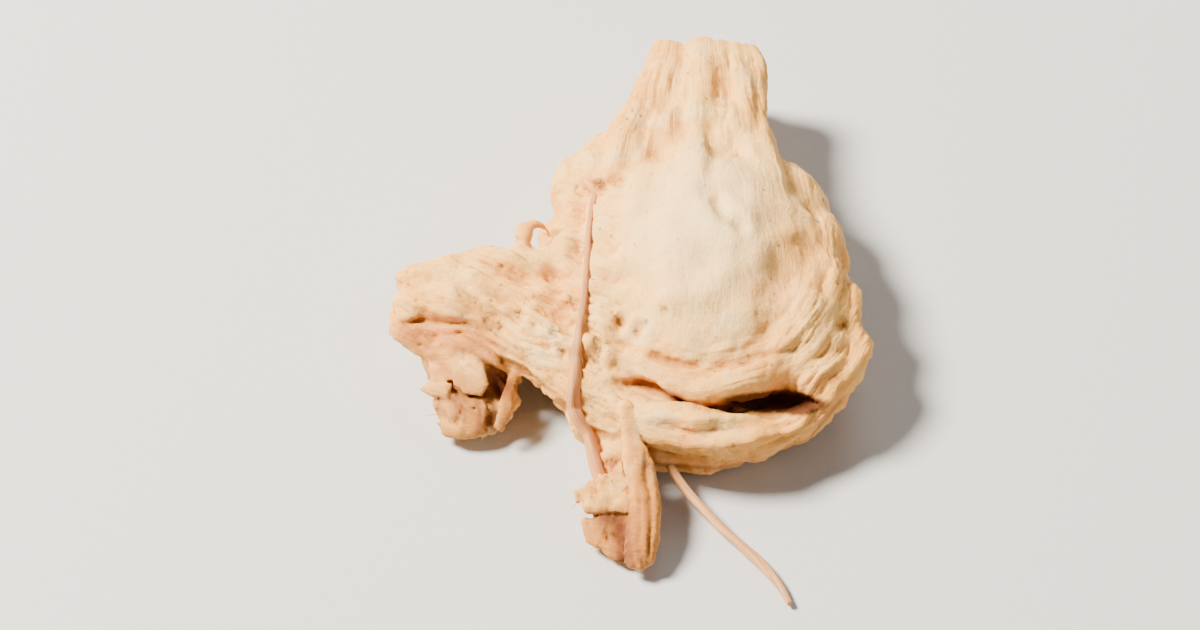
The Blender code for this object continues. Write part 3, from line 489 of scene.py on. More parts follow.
def regions(points, normals):  # where each kind of skin lies, 0 to 1
    x, y, z = points.T
    rimX, rimY = rhizome["rimMiddle"]
    radiusX, radiusY = rhizome["rimRadii"]
    reach = np.hypot((x - rimX) / radiusX, (y - rimY) / radiusY)
    turn = np.degrees(np.arctan2(y - rimY, x - rimX))
    tipX, tipY = rhizome["fanTip"]
    armX, armY = rhizome["armGrain"]
    cutPoint, cutNormal = rhizome["neckCut"]
    fromKnife = (points - np.array(cutPoint)) @ np.array(cutNormal)
    return dict(
        reach=reach, turn=turn,
        neck=ease(-5.0, 5.5, y),
        front=ease(-165, -120, turn) * (1 - ease(10, 45, turn)) * ease(0.55, 0.85, reach),
        right=ease(-75, -50, turn) * (1 - ease(30, 60, turn)) * ease(0.65, 0.9, reach),
        left=ease(1.5, 4.5, -x) * (1 - ease(2.0, 5.0, y)),
        arm=ease(5.0, 6.8, -x),
        under=ease(0.2, 0.7, -normals[:, 2]),
        crumple=ease(6.8, 7.6, -x) * ease(4.6, 5.4, -y) * (1 - ease(2.6, 3.2, z)),
        stub=ease(9.4, 10.2, -y) * (1 - ease(2.6, 3.2, z)),
        crown=np.exp(-((x - 0.8) / 3.4) ** 2 - ((y + 0.6) / 4.4) ** 2) * ease(3.5, 5.0, z),
        cutEnd=ease(-0.12, -0.03, fromKnife) * ease(0.6, 0.9, normals @ np.array(cutNormal)),
        fan=np.arctan2(x - tipX, tipY - y),
        armAcross=x * armX + y * armY,
        armAlong=x * armY - y * armX,
    )


# heights of the folds that the solid has too, and how much calmer its right side and its broken ends are
relief = dict(
    neckCreases=0.19, rimRings=0.45, rimRibs=0.15, armWrinkles=0.52, underWrinkles=0.80, crumple=0.20,
    rightCalm=0.7, brokenCalm=0.8,
)


def largeFolds(points, normals, where):
    x, y, z = points.T
    height = faceMarks(points, normals)
    broken = 1 - relief["brokenCalm"] * np.maximum(where["stub"], where["crumple"])
    for seed, waves, size in rhizome["swells"]:
        height += size * noiseAt(seed, *(points * waves).T) * broken
    fan = where["fan"] + 0.03 * noiseAt(11.0, *(points * 0.5).T)
    wander = 0.35 * noiseAt(23.0, *(points * 0.5).T)
    rings = where["front"] * (1 - relief["rightCalm"] * where["right"]) * broken
    folds = [
        ("neckCreases", where["neck"], 5.0, (fan * rhizome["fanGrain"], y * 0.07, z * 0.25)),
        ("rimRings", rings, 9.0, (where["reach"] * 10.0 + wander, where["turn"] * 0.022, z * 0.2)),
        ("rimRibs", where["right"], 27.0, (where["reach"] * 1.2, where["turn"] * 0.10, z * 0.2)),
        ("armWrinkles", where["left"], 31.0, (where["armAcross"] * 1.1, where["armAlong"] * 0.28, z * 0.4)),
        ("underWrinkles", where["under"], 61.0, (x * 0.35, y * 1.1, z * 0.6)),
        ("crumple", where["crumple"], 51.0, (x * 1.1, y * 0.5, z * 0.5)),
    ]
    for name, share, seed, waves in folds:
        height += relief[name] * share * puckers(seed, *waves)
    return height


def raised(mesh, heightOf):  # the skin moved along its normals, with its flat underside kept
    points, normals = meshArrays(mesh)
    height = heightOf(points, normals, regions(points, normals))
    rest = rhizome["restHeight"]
    height *= ease(rest - 0.2, rest + rhizome["calmHeight"], points[:, 2])
    moved = points + normals * height[:, None]
    moved[:, 2] = np.maximum(moved[:, 2], points[:, 2].min())
    mesh.vertices.foreach_set("co", moved.ravel())
    mesh.update()
    return mesh


def smoothed(mesh, rounds, factor):
    work = bmesh.new()
    work.from_mesh(mesh)
    for _ in range(rounds):
        bmesh.ops.smooth_vert(
            work, verts=work.verts, factor=factor, use_axis_x=True, use_axis_y=True, use_axis_z=True)
    return meshFrom(work, "smoothed")


fineSkin = dict(
    grid=0.08, triangles=188000,
    fibres=[(1.1, 0.26), (2.5, 0.17), (5.2, 0.09)],  # waves per mm across the grain, and height
    stretch=0.06,  # how much slower they change along the grain
    peel=(0.55, 0.05, 0.035),  # waves per mm, step and softness of the thin layers that peeling left
    crackle=[(1.5, 0.07), (3.4, 0.04)],
    crownCalm=0.70, crumpleCalm=0.5, neckShare=0.6,
    pores=150, poreRadius=(0.05, 0.13), poreDepth=(0.06, 0.16), poreStretch=(1.0, 2.6),
    poreOdds=0.2, poreOddsBy=dict(left=0.8, front=0.3, crown=-0.25),
    endFibres=[(2.4, 0.12), (5.0, 0.08)],
)


def octaves(seed, steps, across, along, z):
    height = 0.0
    for waves, size in steps:
        height = height + size * puckers(seed + waves, across * waves, along * waves, z * waves)
    return height


def wavering(points, wide, fine):  # how far the grain wanders sideways
    return wide * noiseAt(45.0, *(points * 0.45).T) + fine * noiseAt(46.0, *(points * 1.5).T)


def grainLines(points, where, warp):  # across and along the grain of each part of the skin
    rimAcross, rimAlong = rhizome["rimGrain"]
    return dict(
        neckGrain=(where["fan"] * rhizome["fanGrain"] + warp, points[:, 1]),
        rimGrain=(where["reach"] * rimAcross + warp, where["turn"] * rimAlong),
        armGrain=(where["armAcross"] + warp, where["armAlong"]),
    )


def fineFolds(points, normals, where):
    # wrinkles, peeled layers, pores and fibre ends too small for the solid
    x, y, z = points.T
    warp = wavering(points, 0.32, 0.10)
    calm = (1 - fineSkin["crownCalm"] * where["crown"]) * (1 - fineSkin["crumpleCalm"] * where["crumple"])
    patchy = 0.35 + 0.9 * ease(-0.30, 0.35, noiseAt(49.0, *(points * 0.6).T))
    stretch = fineSkin["stretch"]
    neckShare = fineSkin["neckShare"] * where["neck"] * (1 - where["front"]) * (1 - where["left"])
    grain = grainLines(points, where, warp)
    grains = [
        (neckShare, *grain["neckGrain"]),
        (where["front"] * (1 - where["stub"]), *grain["rimGrain"]),
        (where["stub"], x + 0.4 * warp, y),
        (where["left"], *grain["armGrain"]),
        (where["under"], y + warp, x),
    ]
    height = octaves(89.0, fineSkin["crackle"], x, y, z) * calm
    waves, step, edge = fineSkin["peel"]
    for index, (share, across, along) in enumerate(grains):
        folds = octaves(71.0 + 4 * index, fineSkin["fibres"], across, along * stretch, z * 0.35)
        layer = noiseAt(101.0 + 4 * index, across * waves, along * waves * 0.3, z * waves * 0.5)
        height += calm * share * (patchy * folds + step * np.tanh(layer / edge))
    height += where["cutEnd"] * octaves(91.0, fineSkin["endFibres"], x, y, z)
    draw = random.Random(5)
    for _ in range(fineSkin["pores"]):
        pick = draw.randrange(len(points))
        radius = draw.uniform(*fineSkin["poreRadius"])
        depth = draw.uniform(*fineSkin["poreDepth"])
        likely = fineSkin["poreOdds"]
        for name, odds in fineSkin["poreOddsBy"].items():
            likely += odds * where[name][pick]
        if draw.random() < likely:
            away = points - points[pick]
            close = np.flatnonzero(np.abs(away).max(axis=1) < 4 * radius)
            aim = np.array([draw.uniform(-1, 1), draw.uniform(-1, 1), draw.uniform(-1, 1)])
            aim /= np.linalg.norm(aim)
            slim = 1 - 1 / draw.uniform(*fineSkin["poreStretch"])
            away = away[close] - np.outer(away[close] @ aim, aim) * slim
            height[close] -= depth * np.exp(-((np.linalg.norm(away, axis=1) / radius) ** 2))
    return height


def thinned(mesh, triangles):
    mesh.calc_loop_triangles()
    return modified(mesh, "DECIMATE", ratio=triangles / len(mesh.loop_triangles))


def buildSkin():
    mesh = smoothed(fusedBody(), rhizome["smoothRounds"], rhizome["smoothFactor"])
    print("body fused:", len(mesh.vertices), "points")
    mesh = cut(raised(mesh, largeFolds), slitMesh())
    mesh = cut(mesh, halfSpace(*rhizome["neckCut"]))
    mesh = cut(mesh, halfSpace(Vector((0, 0, rhizome["restHeight"])), Vector((0, 0, -1))))
    mesh = largestPart(withBrokenEnds(mesh))
    print("skin folded:", len(mesh.vertices), "points")
    return thinned(raised(mesh, fineFolds), fineSkin["triangles"])


# stains and painted shade on the face plane: spots as across, up, radius and strength
stainAndShadeSpots = {
    "redBrown": [
        (-3.9, 3.6, 0.26, 0.7), (-2.95, -2.3, 0.20, 0.9), (-3.85, -3.45, 0.18, 0.7),
        (-7.25, -1.9, 0.22, 0.8), (6.5, -2.4, 0.30, 0.6), (-2.25, -2.75, 0.18, 0.7),
        (-1.15, -1.75, 0.17, 0.6), (-8.15, -2.5, 0.26, 0.9), (-1.9, -2.3, 0.15, 0.6),
        (-3.5, -3.15, 0.14, 0.7), (-4.0, -3.0, 0.16, 0.8), (-3.95, -3.9, 0.16, 0.8),
        (-3.4, -3.6, 0.14, 0.7), (-5.4, -3.5, 0.16, 0.7), (-5.1, -1.3, 0.15, 0.6), (-5.9, -2.7, 0.16, 0.6),
        (-6.6, -2.4, 0.14, 0.6), (-8.6, -2.2, 0.16, 0.7), (4.9, -3.5, 0.14, 0.4), (1.6, 7.1, 0.14, 0.4),
        # the spot at -3.3, -8.1 below is painted shade in the dark gap between the lip and the stub's facet
        (-0.3, -7.1, 0.14, 0.5), (1.7, -7.4, 0.14, 0.5), (-3.3, -8.1, 0.24, 0.8),
    ],
    "pink": [(-5.2, -1.9, 0.40, 0.4), (-9.6, -5.9, 0.5, 0.6), (-3.9, 3.5, 0.42, 0.5)],
    "straw": [(-6.4, 2.0, 1.2, 0.4)],
}
# and lines as points, width and strength, one over the other
stainAndShadeLines = {
    "redBrown": [
        ([(-3.6, -10.4), (-3.0, -10.5), (-2.9, -11.4), (-2.9, -12.2)], 0.50, 0.9),
        # these crumple lines are partly its brown torn flesh, partly painted shade in the gaps between its
        # bits
        ([(-8.4, -4.5), (-8.0, -5.2), (-7.8, -5.0)], 0.35, 0.85),
        ([(-8.35, -5.4), (-8.4, -6.8)], 0.20, 0.75),
        ([(-10.1, -5.5), (-9.5, -5.5)], 0.18, 0.55),
        ([(-9.65, -5.6), (-9.5, -6.2), (-9.55, -6.9)], 0.10, 0.55),
        ([(-9.0, -5.6), (-8.85, -6.3), (-8.95, -6.9)], 0.12, 0.6),
        ([(-10.5, -5.4), (-10.75, -6.3)], 0.12, 0.5),
        ([(-1.9, -8.2), (1.0, -8.4), (3.0, -8.1), (5.0, -7.2), (6.3, -5.6)], 0.10, 0.55),
    ],
    "pink": [
        ([(-10.4, -1.5), (-9.4, -1.9), (-8.4, -2.6)], 0.22, 0.30),
        # painted shade on the arm's underside, which faces down
        ([(-12.2, -2.7), (-10.8, -2.7), (-9.4, -2.9), (-8.4, -3.6)], 0.60, 0.70),
        ([(3.2, -5.1), (4.6, -4.95), (5.9, -4.6)], 0.28, 0.50),
        ([(-1.9, -8.1), (1.0, -8.25), (3.0, -7.95), (5.0, -7.0), (6.3, -5.4)], 0.30, 0.45),
        ([(-4.4, -6.4), (-3.9, -7.6), (-3.4, -8.4)], 0.30, 0.50),
        ([(-2.3, -11.4), (-2.1, -12.3)], 0.8, 0.7),
        ([(-10.9, -3.8), (-10.6, -5.2), (-9.2, -6.4)], 0.8, 0.45),
    ],
    "straw": [
        ([(-5.2, -5.9), (-4.7, -7.0)], 0.3, 0.4),
        ([(-12.6, -2.2), (-11.6, -3.3), (-11.0, -3.7)], 0.35, 0.7),
        # the right rim: partly its yellow flesh, partly painted shade on the side away from the key light
        ([(5.6, 1.2), (7.2, -1.6), (7.0, -3.8), (5.6, -5.9), (3.2, -6.9)], 0.9, 0.7),
        # painted shade below the second fold's lap
        ([(-2.0, -3.5), (-1.2, -4.05), (-0.2, -4.35), (0.9, -4.4)], 0.25, 0.8),
        ([(4.3, 0.9), (5.4, -0.6)], 1.1, 0.7),
    ],
    "tan": [
        # the strap's top: partly its tan, partly painted shade beside the ridge where it leaves the lip
        ([(-2.68, -5.9), (-2.5, -7.4), (-2.2, -8.3)], 0.24, 0.75),
        ([(-4.3, -10.8), (-4.1, -11.8)], 0.60, 0.75),
        ([(-9.3, -5.7), (-9.0, -6.8)], 0.55, 0.8),
        ([(-10.3, -4.4), (-9.3, -5.2)], 0.50, 0.45),
        ([(-10.6, -6.8), (-9.6, -7.0)], 0.40, 0.6),
        ([(-9.8, -5.3), (-9.0, -5.5), (-8.6, -5.3)], 0.16, 0.8),
        ([(-2.1, -8.6), (-1.95, -10.0), (-2.0, -11.6)], 0.58, 0.95),
        ([(-7.5, -4.7), (-7.75, -5.8), (-8.0, -6.9)], 0.28, 0.9),
        # painted shade on the arm's underside, which faces down
        ([(-11.9, -2.7), (-11.2, -3.4), (-10.4, -3.2), (-9.0, -3.2)], 0.45, 0.7),
        ([(-9.6, -2.85), (-8.6, -3.4), (-7.9, -3.9), (-6.7, -4.5), (-5.4, -5.6)], 0.11, 0.6),
        ([(-9.4, -2.6), (-8.5, -3.05), (-7.7, -3.5), (-7.0, -3.9), (-5.9, -4.6)], 0.08, 0.5),
        ([(-9.9, -3.35), (-9.0, -3.65), (-8.1, -4.35), (-7.2, -5.15), (-6.4, -5.8)], 0.12, 0.6),
    ],
    # painted shadow under the main fold's lap
    "ochre": [([(-2.8, -4.85), (-1.5, -5.1), (-0.3, -5.55), (1.2, -5.85)], 0.10, 0.6)],
}


shade = dict(rays=14, reach=1.3, lift=0.03, turn=2.399963)  # each ray turned by the golden angle


def shelter(mesh):  # the share of short rays from each point that hit the piece again, by which the material paints shade
    rays = shade["rays"]
    points, normals = meshArrays(mesh)
    tree = skinTree(mesh)
    side = np.cross(normals, np.where(np.abs(normals[:, 2:]) < 0.8, (0.0, 0.0, 1.0), (1.0, 0.0, 0.0)))
    side /= np.linalg.norm(side, axis=1)[:, None]
    across = np.cross(normals, side)
    starts = [Vector(p) for p in points + shade["lift"] * normals]
    hits = np.zeros(len(points))
    for ray in range(rays):
        lean = math.sqrt((ray + 0.5) / rays)
        turn = ray * shade["turn"]
        aims = lean * (math.cos(turn) * side + math.sin(turn) * across) + math.sqrt(1 - lean * lean) * normals
        cast = [tree.ray_cast(start, Vector(aim), shade["reach"]) for start, aim in zip(starts, aims)]
        hits += [hit[0] is not None for hit in cast]
    return hits / rays


def blurred(values, edges, rounds):  # each value eased towards its neighbours'
    count = np.zeros(len(values))
    np.add.at(count, edges[:, 0], 1)
    np.add.at(count, edges[:, 1], 1)
    values = values.astype(float)
    for _ in range(rounds):
        total = np.zeros_like(values)
        np.add.at(total, edges[:, 0], values[edges[:, 1]])
        np.add.at(total, edges[:, 1], values[edges[:, 0]])
        values = 0.5 * values + 0.5 * total / (count if values.ndim == 1 else count[:, None])
    return values


def slitDepth(points):  # 1 on the walls of the slit, fading out at its mouth
    slit = rhizome["slit"]
    inside = (points - np.array(slit["middle"])) @ np.array(slit["facing"])
    inside[:, 2] -= slit["curve"] * inside[:, 0] ** 2
    reach = np.linalg.norm(inside / np.array(slit["halves"]), axis=1)
    return (1 - ease(1.05, 1.35, reach)) * ease(-1.7, -0.3, inside[:, 1])


def foldLines(across, up, wander, facing):  # how close each point is to the floor of a lap or crease, where the material paints shadow
    line = np.zeros(len(across))
    for points, step, reach, edge in rhizome["laps"]:
        gap, along, side = lineDistance(points, across + 0.5 * wander, up - 0.5 * wander)
        fade = between(along, 0.2, 0.8)
        floor = np.exp(-(((side * gap + edge) / (1.1 * edge)) ** 2))
        line = np.maximum(line, min(1, 2.5 * step) * fade * floor)
    for points, width, depth in rhizome["creases"]:
        gap, along = lineDistance(points, across + wander, up - wander)[:2]
        fade = between(along, 0.25, 0.75)
        floor = np.exp(-((gap / (0.3 * width)) ** 2))
        line = np.maximum(line, min(0.6, 1.4 * depth) * fade * floor)
    return line * facing


# the material darkens these hollows as painted shade
# hollows of the skin: rounds of smoothing added for each kind, and the depth in mm that counts as 1
hollows = dict(fineHollow=(3, 0.02), middleHollow=(15, 0.06), wideHollow=(70, 0.20))


def markSkin(mesh, covered):  # stores what the material needs to know of the skin, point by point
    points, normals = meshArrays(mesh)
    edges = np.empty(len(mesh.edges) * 2, dtype=np.int64)
    mesh.edges.foreach_get("vertices", edges)
    edges = edges.reshape(-1, 2)
    where = regions(points, normals)
    across, up, facing = onFace(points, normals)
    wander = markWander(points)
    marks = dict(
        foldLine=foldLines(across, up, wander, facing), slitDepth=slitDepth(points),
        shelter=blurred(covered, edges, 2),
        **{name: where[name] for name in ("cutEnd", "front", "left", "under", "crown")},
        torn=np.maximum(where["stub"], where["crumple"]),
        smooth=np.maximum(where["crown"], ease(2.5, 5.0, points[:, 1]) * (1 - where["cutEnd"])),
    )
    level = points
    for name, (rounds, depth) in hollows.items():
        level = blurred(level, edges, rounds)
        marks[name] = ((level - points) * normals).sum(1) / depth
    for name, lines in stainAndShadeLines.items():
        stainAndShade = np.zeros(len(points))
        for spotAcross, spotUp, radius, strength in stainAndShadeSpots.get(name, []):
            gap = np.hypot(across - spotAcross + 0.5 * wander, up - spotUp) / radius
            stainAndShade = np.maximum(stainAndShade, strength * np.exp(-(gap ** 4)))
        if name == "redBrown":  # its spots are ragged dots, apart from its lines
            marks["dots"] = stainAndShade * facing
            stainAndShade = np.zeros(len(points))
        for line, width, strength in lines:
            gap = lineDistance(line, across + 0.4 * wander, up)[0]
            stainAndShade = np.maximum(stainAndShade, strength * np.exp(-((gap / width) ** 2)))
        marks[name + "StainAndShade"] = stainAndShade * facing
    for name, values in marks.items():
        mesh.attributes.new(name, "FLOAT", "POINT").data.foreach_set("value", values)
    for name, lines in grainLines(points, where, wavering(points, 0.30, 0.12)).items():
        vectors = np.column_stack((*lines, points[:, 2]))
        mesh.attributes.new(name, "FLOAT_VECTOR", "POINT").data.foreach_set("vector", vectors.ravel())


def toPlace(mesh):  # millimetres about the crown to metres about the origin
    mesh.transform(Matrix.Scale(toMetres, 4) @ Matrix.Translation(-origin))


def srgb(red, green, blue):
    return tuple((c / 12.92 if c <= 0.04045 else ((c + 0.055) / 1.055) ** 2.4)
                 for c in (red / 255, green / 255, blue / 255)) + (1.0,)


class Nodes:  # a new material, with short ways to add and join its nodes
    def __init__(self, name):
        self.material = bpy.data.materials.new(name)
        self.material.use_nodes = True
        self.tree = self.material.node_tree
        self.tree.nodes.clear()
        self.column = 0

    def add(self, kind, settings=None, **inputs):
        node = self.tree.nodes.new(kind)
        self.column += 1
        node.location = (180 * (self.column % 8), -220 * (self.column // 8))
        for name, value in (settings or {}).items():
            setattr(node, name, value)
        for name, value in inputs.items():
            self.put(node.inputs[name.replace("_", " ")], value)
        return node

    def put(self, socket, value):
        if isinstance(value, bpy.types.NodeSocket):
            self.tree.links.new(value, socket)
        else:
            socket.default_value = value

    def math(self, operation, *values, clamp=False):
        node = self.add("ShaderNodeMath", dict(operation=operation, use_clamp=clamp))
        for socket, value in zip(node.inputs, values):
            self.put(socket, value)
        return node.outputs[0]

    def both(self, first, second):  # the product of two shares
        return self.math("MULTIPLY", first, second, clamp=True)

    def mark(self, name):
        return self.add("ShaderNodeAttribute", dict(attribute_name=name)).outputs["Fac"]

    def grain(self, name):
        return self.add("ShaderNodeAttribute", dict(attribute_name=name)).outputs["Vector"]

    def scaled(self, vector, scale):
        return self.add("ShaderNodeMapping", Vector=vector, Scale=scale).outputs["Vector"]

    def noise(self, vector, scale=1.0, detail=2.0, rough=0.5):
        node = self.add("ShaderNodeTexNoise", Vector=vector, Scale=scale, Detail=detail, Roughness=rough)
        return node.outputs["Fac"]

    def span(self, value, low, high, newLow=0.0, newHigh=1.0):
        node = self.add("ShaderNodeMapRange", dict(interpolation_type="SMOOTHSTEP"))
        for socket, number in zip(node.inputs, (value, low, high, newLow, newHigh)):
            self.put(socket, number)
        return node.outputs[0]

    def mix(self, share, first, second):
        node = self.add("ShaderNodeMix", dict(data_type="RGBA"))
        self.put(node.inputs[0], share)
        self.put(node.inputs[6], first)
        self.put(node.inputs[7], second)
        return node.outputs[2]

    def bump(self, height, strength, distance, normal=None):
        node = self.add("ShaderNodeBump", Height=height, Strength=strength, Distance=distance)
        if normal:
            self.put(node.inputs["Normal"], normal)
        return node.outputs["Normal"]

    def voronoi(self, vector, scale):
        node = self.add("ShaderNodeTexVoronoi", dict(feature="F1"), Vector=vector, Scale=scale)
        return node.outputs["Distance"]

    def millimetres(self):
        return self.scaled(self.add("ShaderNodeTexCoord").outputs["Object"], (1000, 1000, 1000))

    def surface(self, look, colour, roughness, normal):
        shader = self.add(
            "ShaderNodeBsdfPrincipled", Base_Color=colour, Roughness=roughness, Normal=normal,
            Specular_IOR_Level=look["specular"], Subsurface_Weight=look["scatter"],
            Subsurface_Radius=(1.0, 0.70, 0.42), Subsurface_Scale=0.0002)
        self.add("ShaderNodeOutputMaterial", Surface=shader.outputs[0])
        return self.material


# colours of the dried flesh; ochre and hollowShade go only to painted shade, umber partly, and tan, straw,
# pink and redBrown to painted shade as well as to the flesh's own marks
fleshLook = dict(
    cream=srgb(250, 195, 106), ivory=srgb(253, 222, 164), straw=srgb(243, 168, 72), ochre=srgb(176, 104, 42),
    tan=srgb(178, 112, 46), umber=srgb(74, 30, 10), pink=srgb(214, 134, 80), redBrown=srgb(88, 32, 16),
    cool=srgb(240, 216, 158), hollowShade=srgb(222, 168, 82),
    specular=0.22, scatter=0.06, roughness=(0.72, 0.92), grain=(0.8, 0.00013), grit=(0.55, 0.00006),
    grains=dict(neckGrain=(5.0, 0.22, 1.5), rimGrain=(5.0, 0.25, 3.0), armGrain=(5.0, 0.25, 2.0)),
)


def fleshMaterial():
    look = fleshLook
    n = Nodes("driedFlesh")
    mm = n.millimetres()
    patches = n.noise(mm, 0.30, 3, 0.55)
    coolPatches = n.noise(n.scaled(mm, (1, 1.3, 0.8)), 0.42, 2, 0.5)
    mottle = n.noise(mm, 1.6, 4, 0.6)
    dust = n.noise(mm, 8.0, 5, 0.68)
    tornPatches = n.noise(mm, 1.1, 4, 0.62)
    grains = {
        name: n.noise(n.scaled(n.grain(name), scale), 1.0, 5, 0.65) for name, scale in look["grains"].items()
    }
    grain = n.mix(n.mark("front"), grains["neckGrain"], grains["rimGrain"])
    grain = n.mix(n.mark("left"), grain, grains["armGrain"])
    grain = n.mix(n.math("MULTIPLY", n.mark("crown"), 0.6), grain, (0.5, 0.5, 0.5, 1.0))
    # how much painted shade is kept: less on the smooth crown and neck
    shadeKept = n.math("SUBTRACT", 1.0, n.math("MULTIPLY", n.mark("smooth"), 0.65))
    fine = n.math("MULTIPLY", n.mark("fineHollow"), n.math("POWER", shadeKept, 0.5))
    middle = n.math("MULTIPLY", n.mark("middleHollow"), shadeKept)
    wide = n.math("MULTIPLY", n.mark("wideHollow"), shadeKept)
    shelter = n.math("MULTIPLY", n.mark("shelter"), shadeKept)
    bundles = n.voronoi(mm, 2.6)
    ragged = n.span(n.noise(n.scaled(mm, (1.0, 0.8, 1.2)), 4.0, 4, 0.65), 0.43, 0.55)
    specks = n.both(n.span(n.voronoi(mm, 1.5), 0.18, 0.06), n.span(n.noise(mm, 0.6, 2), 0.47, 0.60))
    # painted shade: the skin that faces down, darkened in mottled patches
    underShade = n.both(n.mark("under"), n.span(mottle, 0.36, 0.60))
    tintColours = dict(look, foldShadow=n.mix(n.span(mottle, 0.42, 0.58), look["ochre"], look["redBrown"]))
    tints = [  # where each tint lies, how strong it is and its colour, one over the other
        (n.span(coolPatches, 0.52, 0.70), 0.5, "cool"),
        # painted highlight: the crown's dome made paler ivory
        (n.mark("crown"), 0.8, "ivory"),
        (n.span(mottle, 0.50, 0.72), 0.35, "ivory"),
        (n.span(grain, 0.54, 0.72), 0.35, "straw"),
        (n.span(grain, 0.46, 0.32), 0.30, "tan"),
        (n.span(dust, 0.52, 0.68), 0.35, "ivory"),
        (n.span(dust, 0.46, 0.32), 0.28, "tan"),
        # painted shade in broad and middle hollows
        (n.span(wide, -0.1, 1.0), 0.55, "straw"),
        (n.span(middle, 0.15, 1.6), 0.40, "hollowShade"),
        (underShade, 0.35, "tan"),
        (n.both(n.mark("torn"), n.span(tornPatches, 0.38, 0.58)), 0.55, "tan"),
        (n.mark("strawStainAndShade"), 0.9, "straw"),
        (n.mark("pinkStainAndShade"), 0.9, "pink"),
        # painted shade: fine and wide hollows, and where the piece shelters itself, darkest in the torn ends
        (n.span(fine, 0.25, 1.6), 0.75, "tan"),
        (n.span(wide, 0.9, 2.8), 0.40, "hollowShade"),
        (n.span(shelter, 0.14, 0.46), 0.50, "hollowShade"),
        (n.span(shelter, 0.40, 0.68), 0.75, "ochre"),
        (n.span(shelter, 0.58, 0.86), 0.85, "redBrown"),
        (n.both(n.mark("torn"), n.span(shelter, 0.16, 0.46)), 0.60, "tan"),
        (n.both(n.mark("torn"), n.span(shelter, 0.34, 0.62)), 0.75, "redBrown"),
        (n.mark("tanStainAndShade"), 0.9, "tan"),
        (n.mark("ochreStainAndShade"), 0.9, "ochre"),
        # painted shadow along the floors of laps and creases
        (n.mark("foldLine"), 0.5, "foldShadow"),
        # the slit's walls in umber: partly its brown flesh, partly painted shade
        (n.mark("slitDepth"), 0.95, "umber"),
        (n.mark("redBrownStainAndShade"), 1.0, "redBrown"),
        (n.mark("dots"), 0.40, "redBrown"),
        (n.both(n.mark("dots"), ragged), 1.0, "umber"),
        (n.both(n.mark("cutEnd"), n.span(bundles, 0.30, 0.12)), 0.7, "tan"),
        (specks, 0.6, "redBrown"),
    ]
    colour = n.mix(n.span(patches, 0.38, 0.66), look["cream"], look["straw"])
    for share, strength, name in tints:
        colour = n.mix(n.both(share, strength), colour, tintColours[name])
    roughness = n.span(mottle, 0.3, 0.7, *look["roughness"])
    return n.surface(look, colour, roughness, n.bump(dust, *look["grit"], n.bump(grain, *look["grain"])))


rootLook = dict(
    pale=srgb(232, 186, 130), tan=srgb(196, 130, 76), dark=srgb(128, 72, 38),
    specular=0.35, scatter=0.12, roughness=0.65, grain=(0.7, 0.00006),
)


def rootletMaterial():
    look = rootLook
    n = Nodes("wiryRoot")
    grain = n.grain("rootGrain")
    patches = n.noise(n.scaled(grain, (0.5, 0.5, 0.35)), 1.0, 2, 0.5)
    fine = n.noise(n.scaled(grain, (2.6, 2.6, 0.5)), 1.0, 4, 0.6)
    colour = n.mix(n.mark("tone"), look["pale"], look["tan"])
    colour = n.mix(n.both(n.span(patches, 0.42, 0.66), 0.5), colour, look["tan"])
    colour = n.mix(n.both(n.span(fine, 0.50, 0.72), 0.55), colour, look["dark"])
    return n.surface(look, colour, look["roughness"], n.bump(fine, *look["grain"]))


def skinTree(mesh):
    work = bmesh.new()
    work.from_mesh(mesh)
    tree = BVHTree.FromBMesh(work)
    work.free()
    return tree


def climbingPath(tree):  # its foot, then dropped straight onto the face step by step
    path = smoothPath(wiryRoots["foot"], 6)
    for across, up, lift, radius in smoothPath(wiryRoots["climbing"], 6):
        above = Vector((across, 0, 0)) + face["rise"] * (up + face["offset"])
        above += face["outward"] * rhizome["knifeBlock"]
        onSkin = tree.ray_cast(above, -face["outward"])[0]
        path.append(Vector((*(onSkin + face["outward"] * (lift + 0.35 * radius)), radius)))
    for _ in range(3):
        inner = [(a + 2 * b + c) / 4 for a, b, c in zip(path, path[1:], path[2:])]
        path = [path[0], *inner, path[-1]]
    return path


def rootLayers(work):  # what the rootlets' material reads: the grain, then the tone, which is returned
    work.verts.layers.float_vector.new("rootGrain")
    return work.verts.layers.float.new("tone")


def addRootlets(tree, material):
    work = bmesh.new()
    tone = rootLayers(work)
    for vert in growTube(work, climbingPath(tree), 18, 0.30):
        vert[tone] = 0.8
    for points in wiryRoots["clear"].values():
        for vert in growTube(work, smoothPath(points, 12), 18, 0.30):
            vert[tone] = 0.55
    return finishTubes(work, "wiryRootlets", material)


def finishTubes(work, name, material):
    bmesh.ops.recalc_face_normals(work, faces=work.faces)
    mesh = meshFrom(work, name)
    toPlace(mesh)
    mesh.shade_smooth()
    mesh.materials.append(material)
    return linked(name, mesh)


hairFibres = dict(
    thickness=(0.010, 0.024), sides=4, steps=6, rooted=0.08,
    # how many of each kind, how far they stray from their aim, ranges of length, curl and lift off the skin
    neckEnd=dict(count=60, stray=0.35, length=(0.12, 0.42), curl=(0.0, 0.4)),
    torn=dict(count=22, stray=0.6, length=(0.2, 0.7), curl=(0.1, 0.6)),
    body=dict(count=26, stray=0.5, length=(0.5, 1.6), curl=(-0.3, 0.3), lift=(0.12, 0.35)),
)


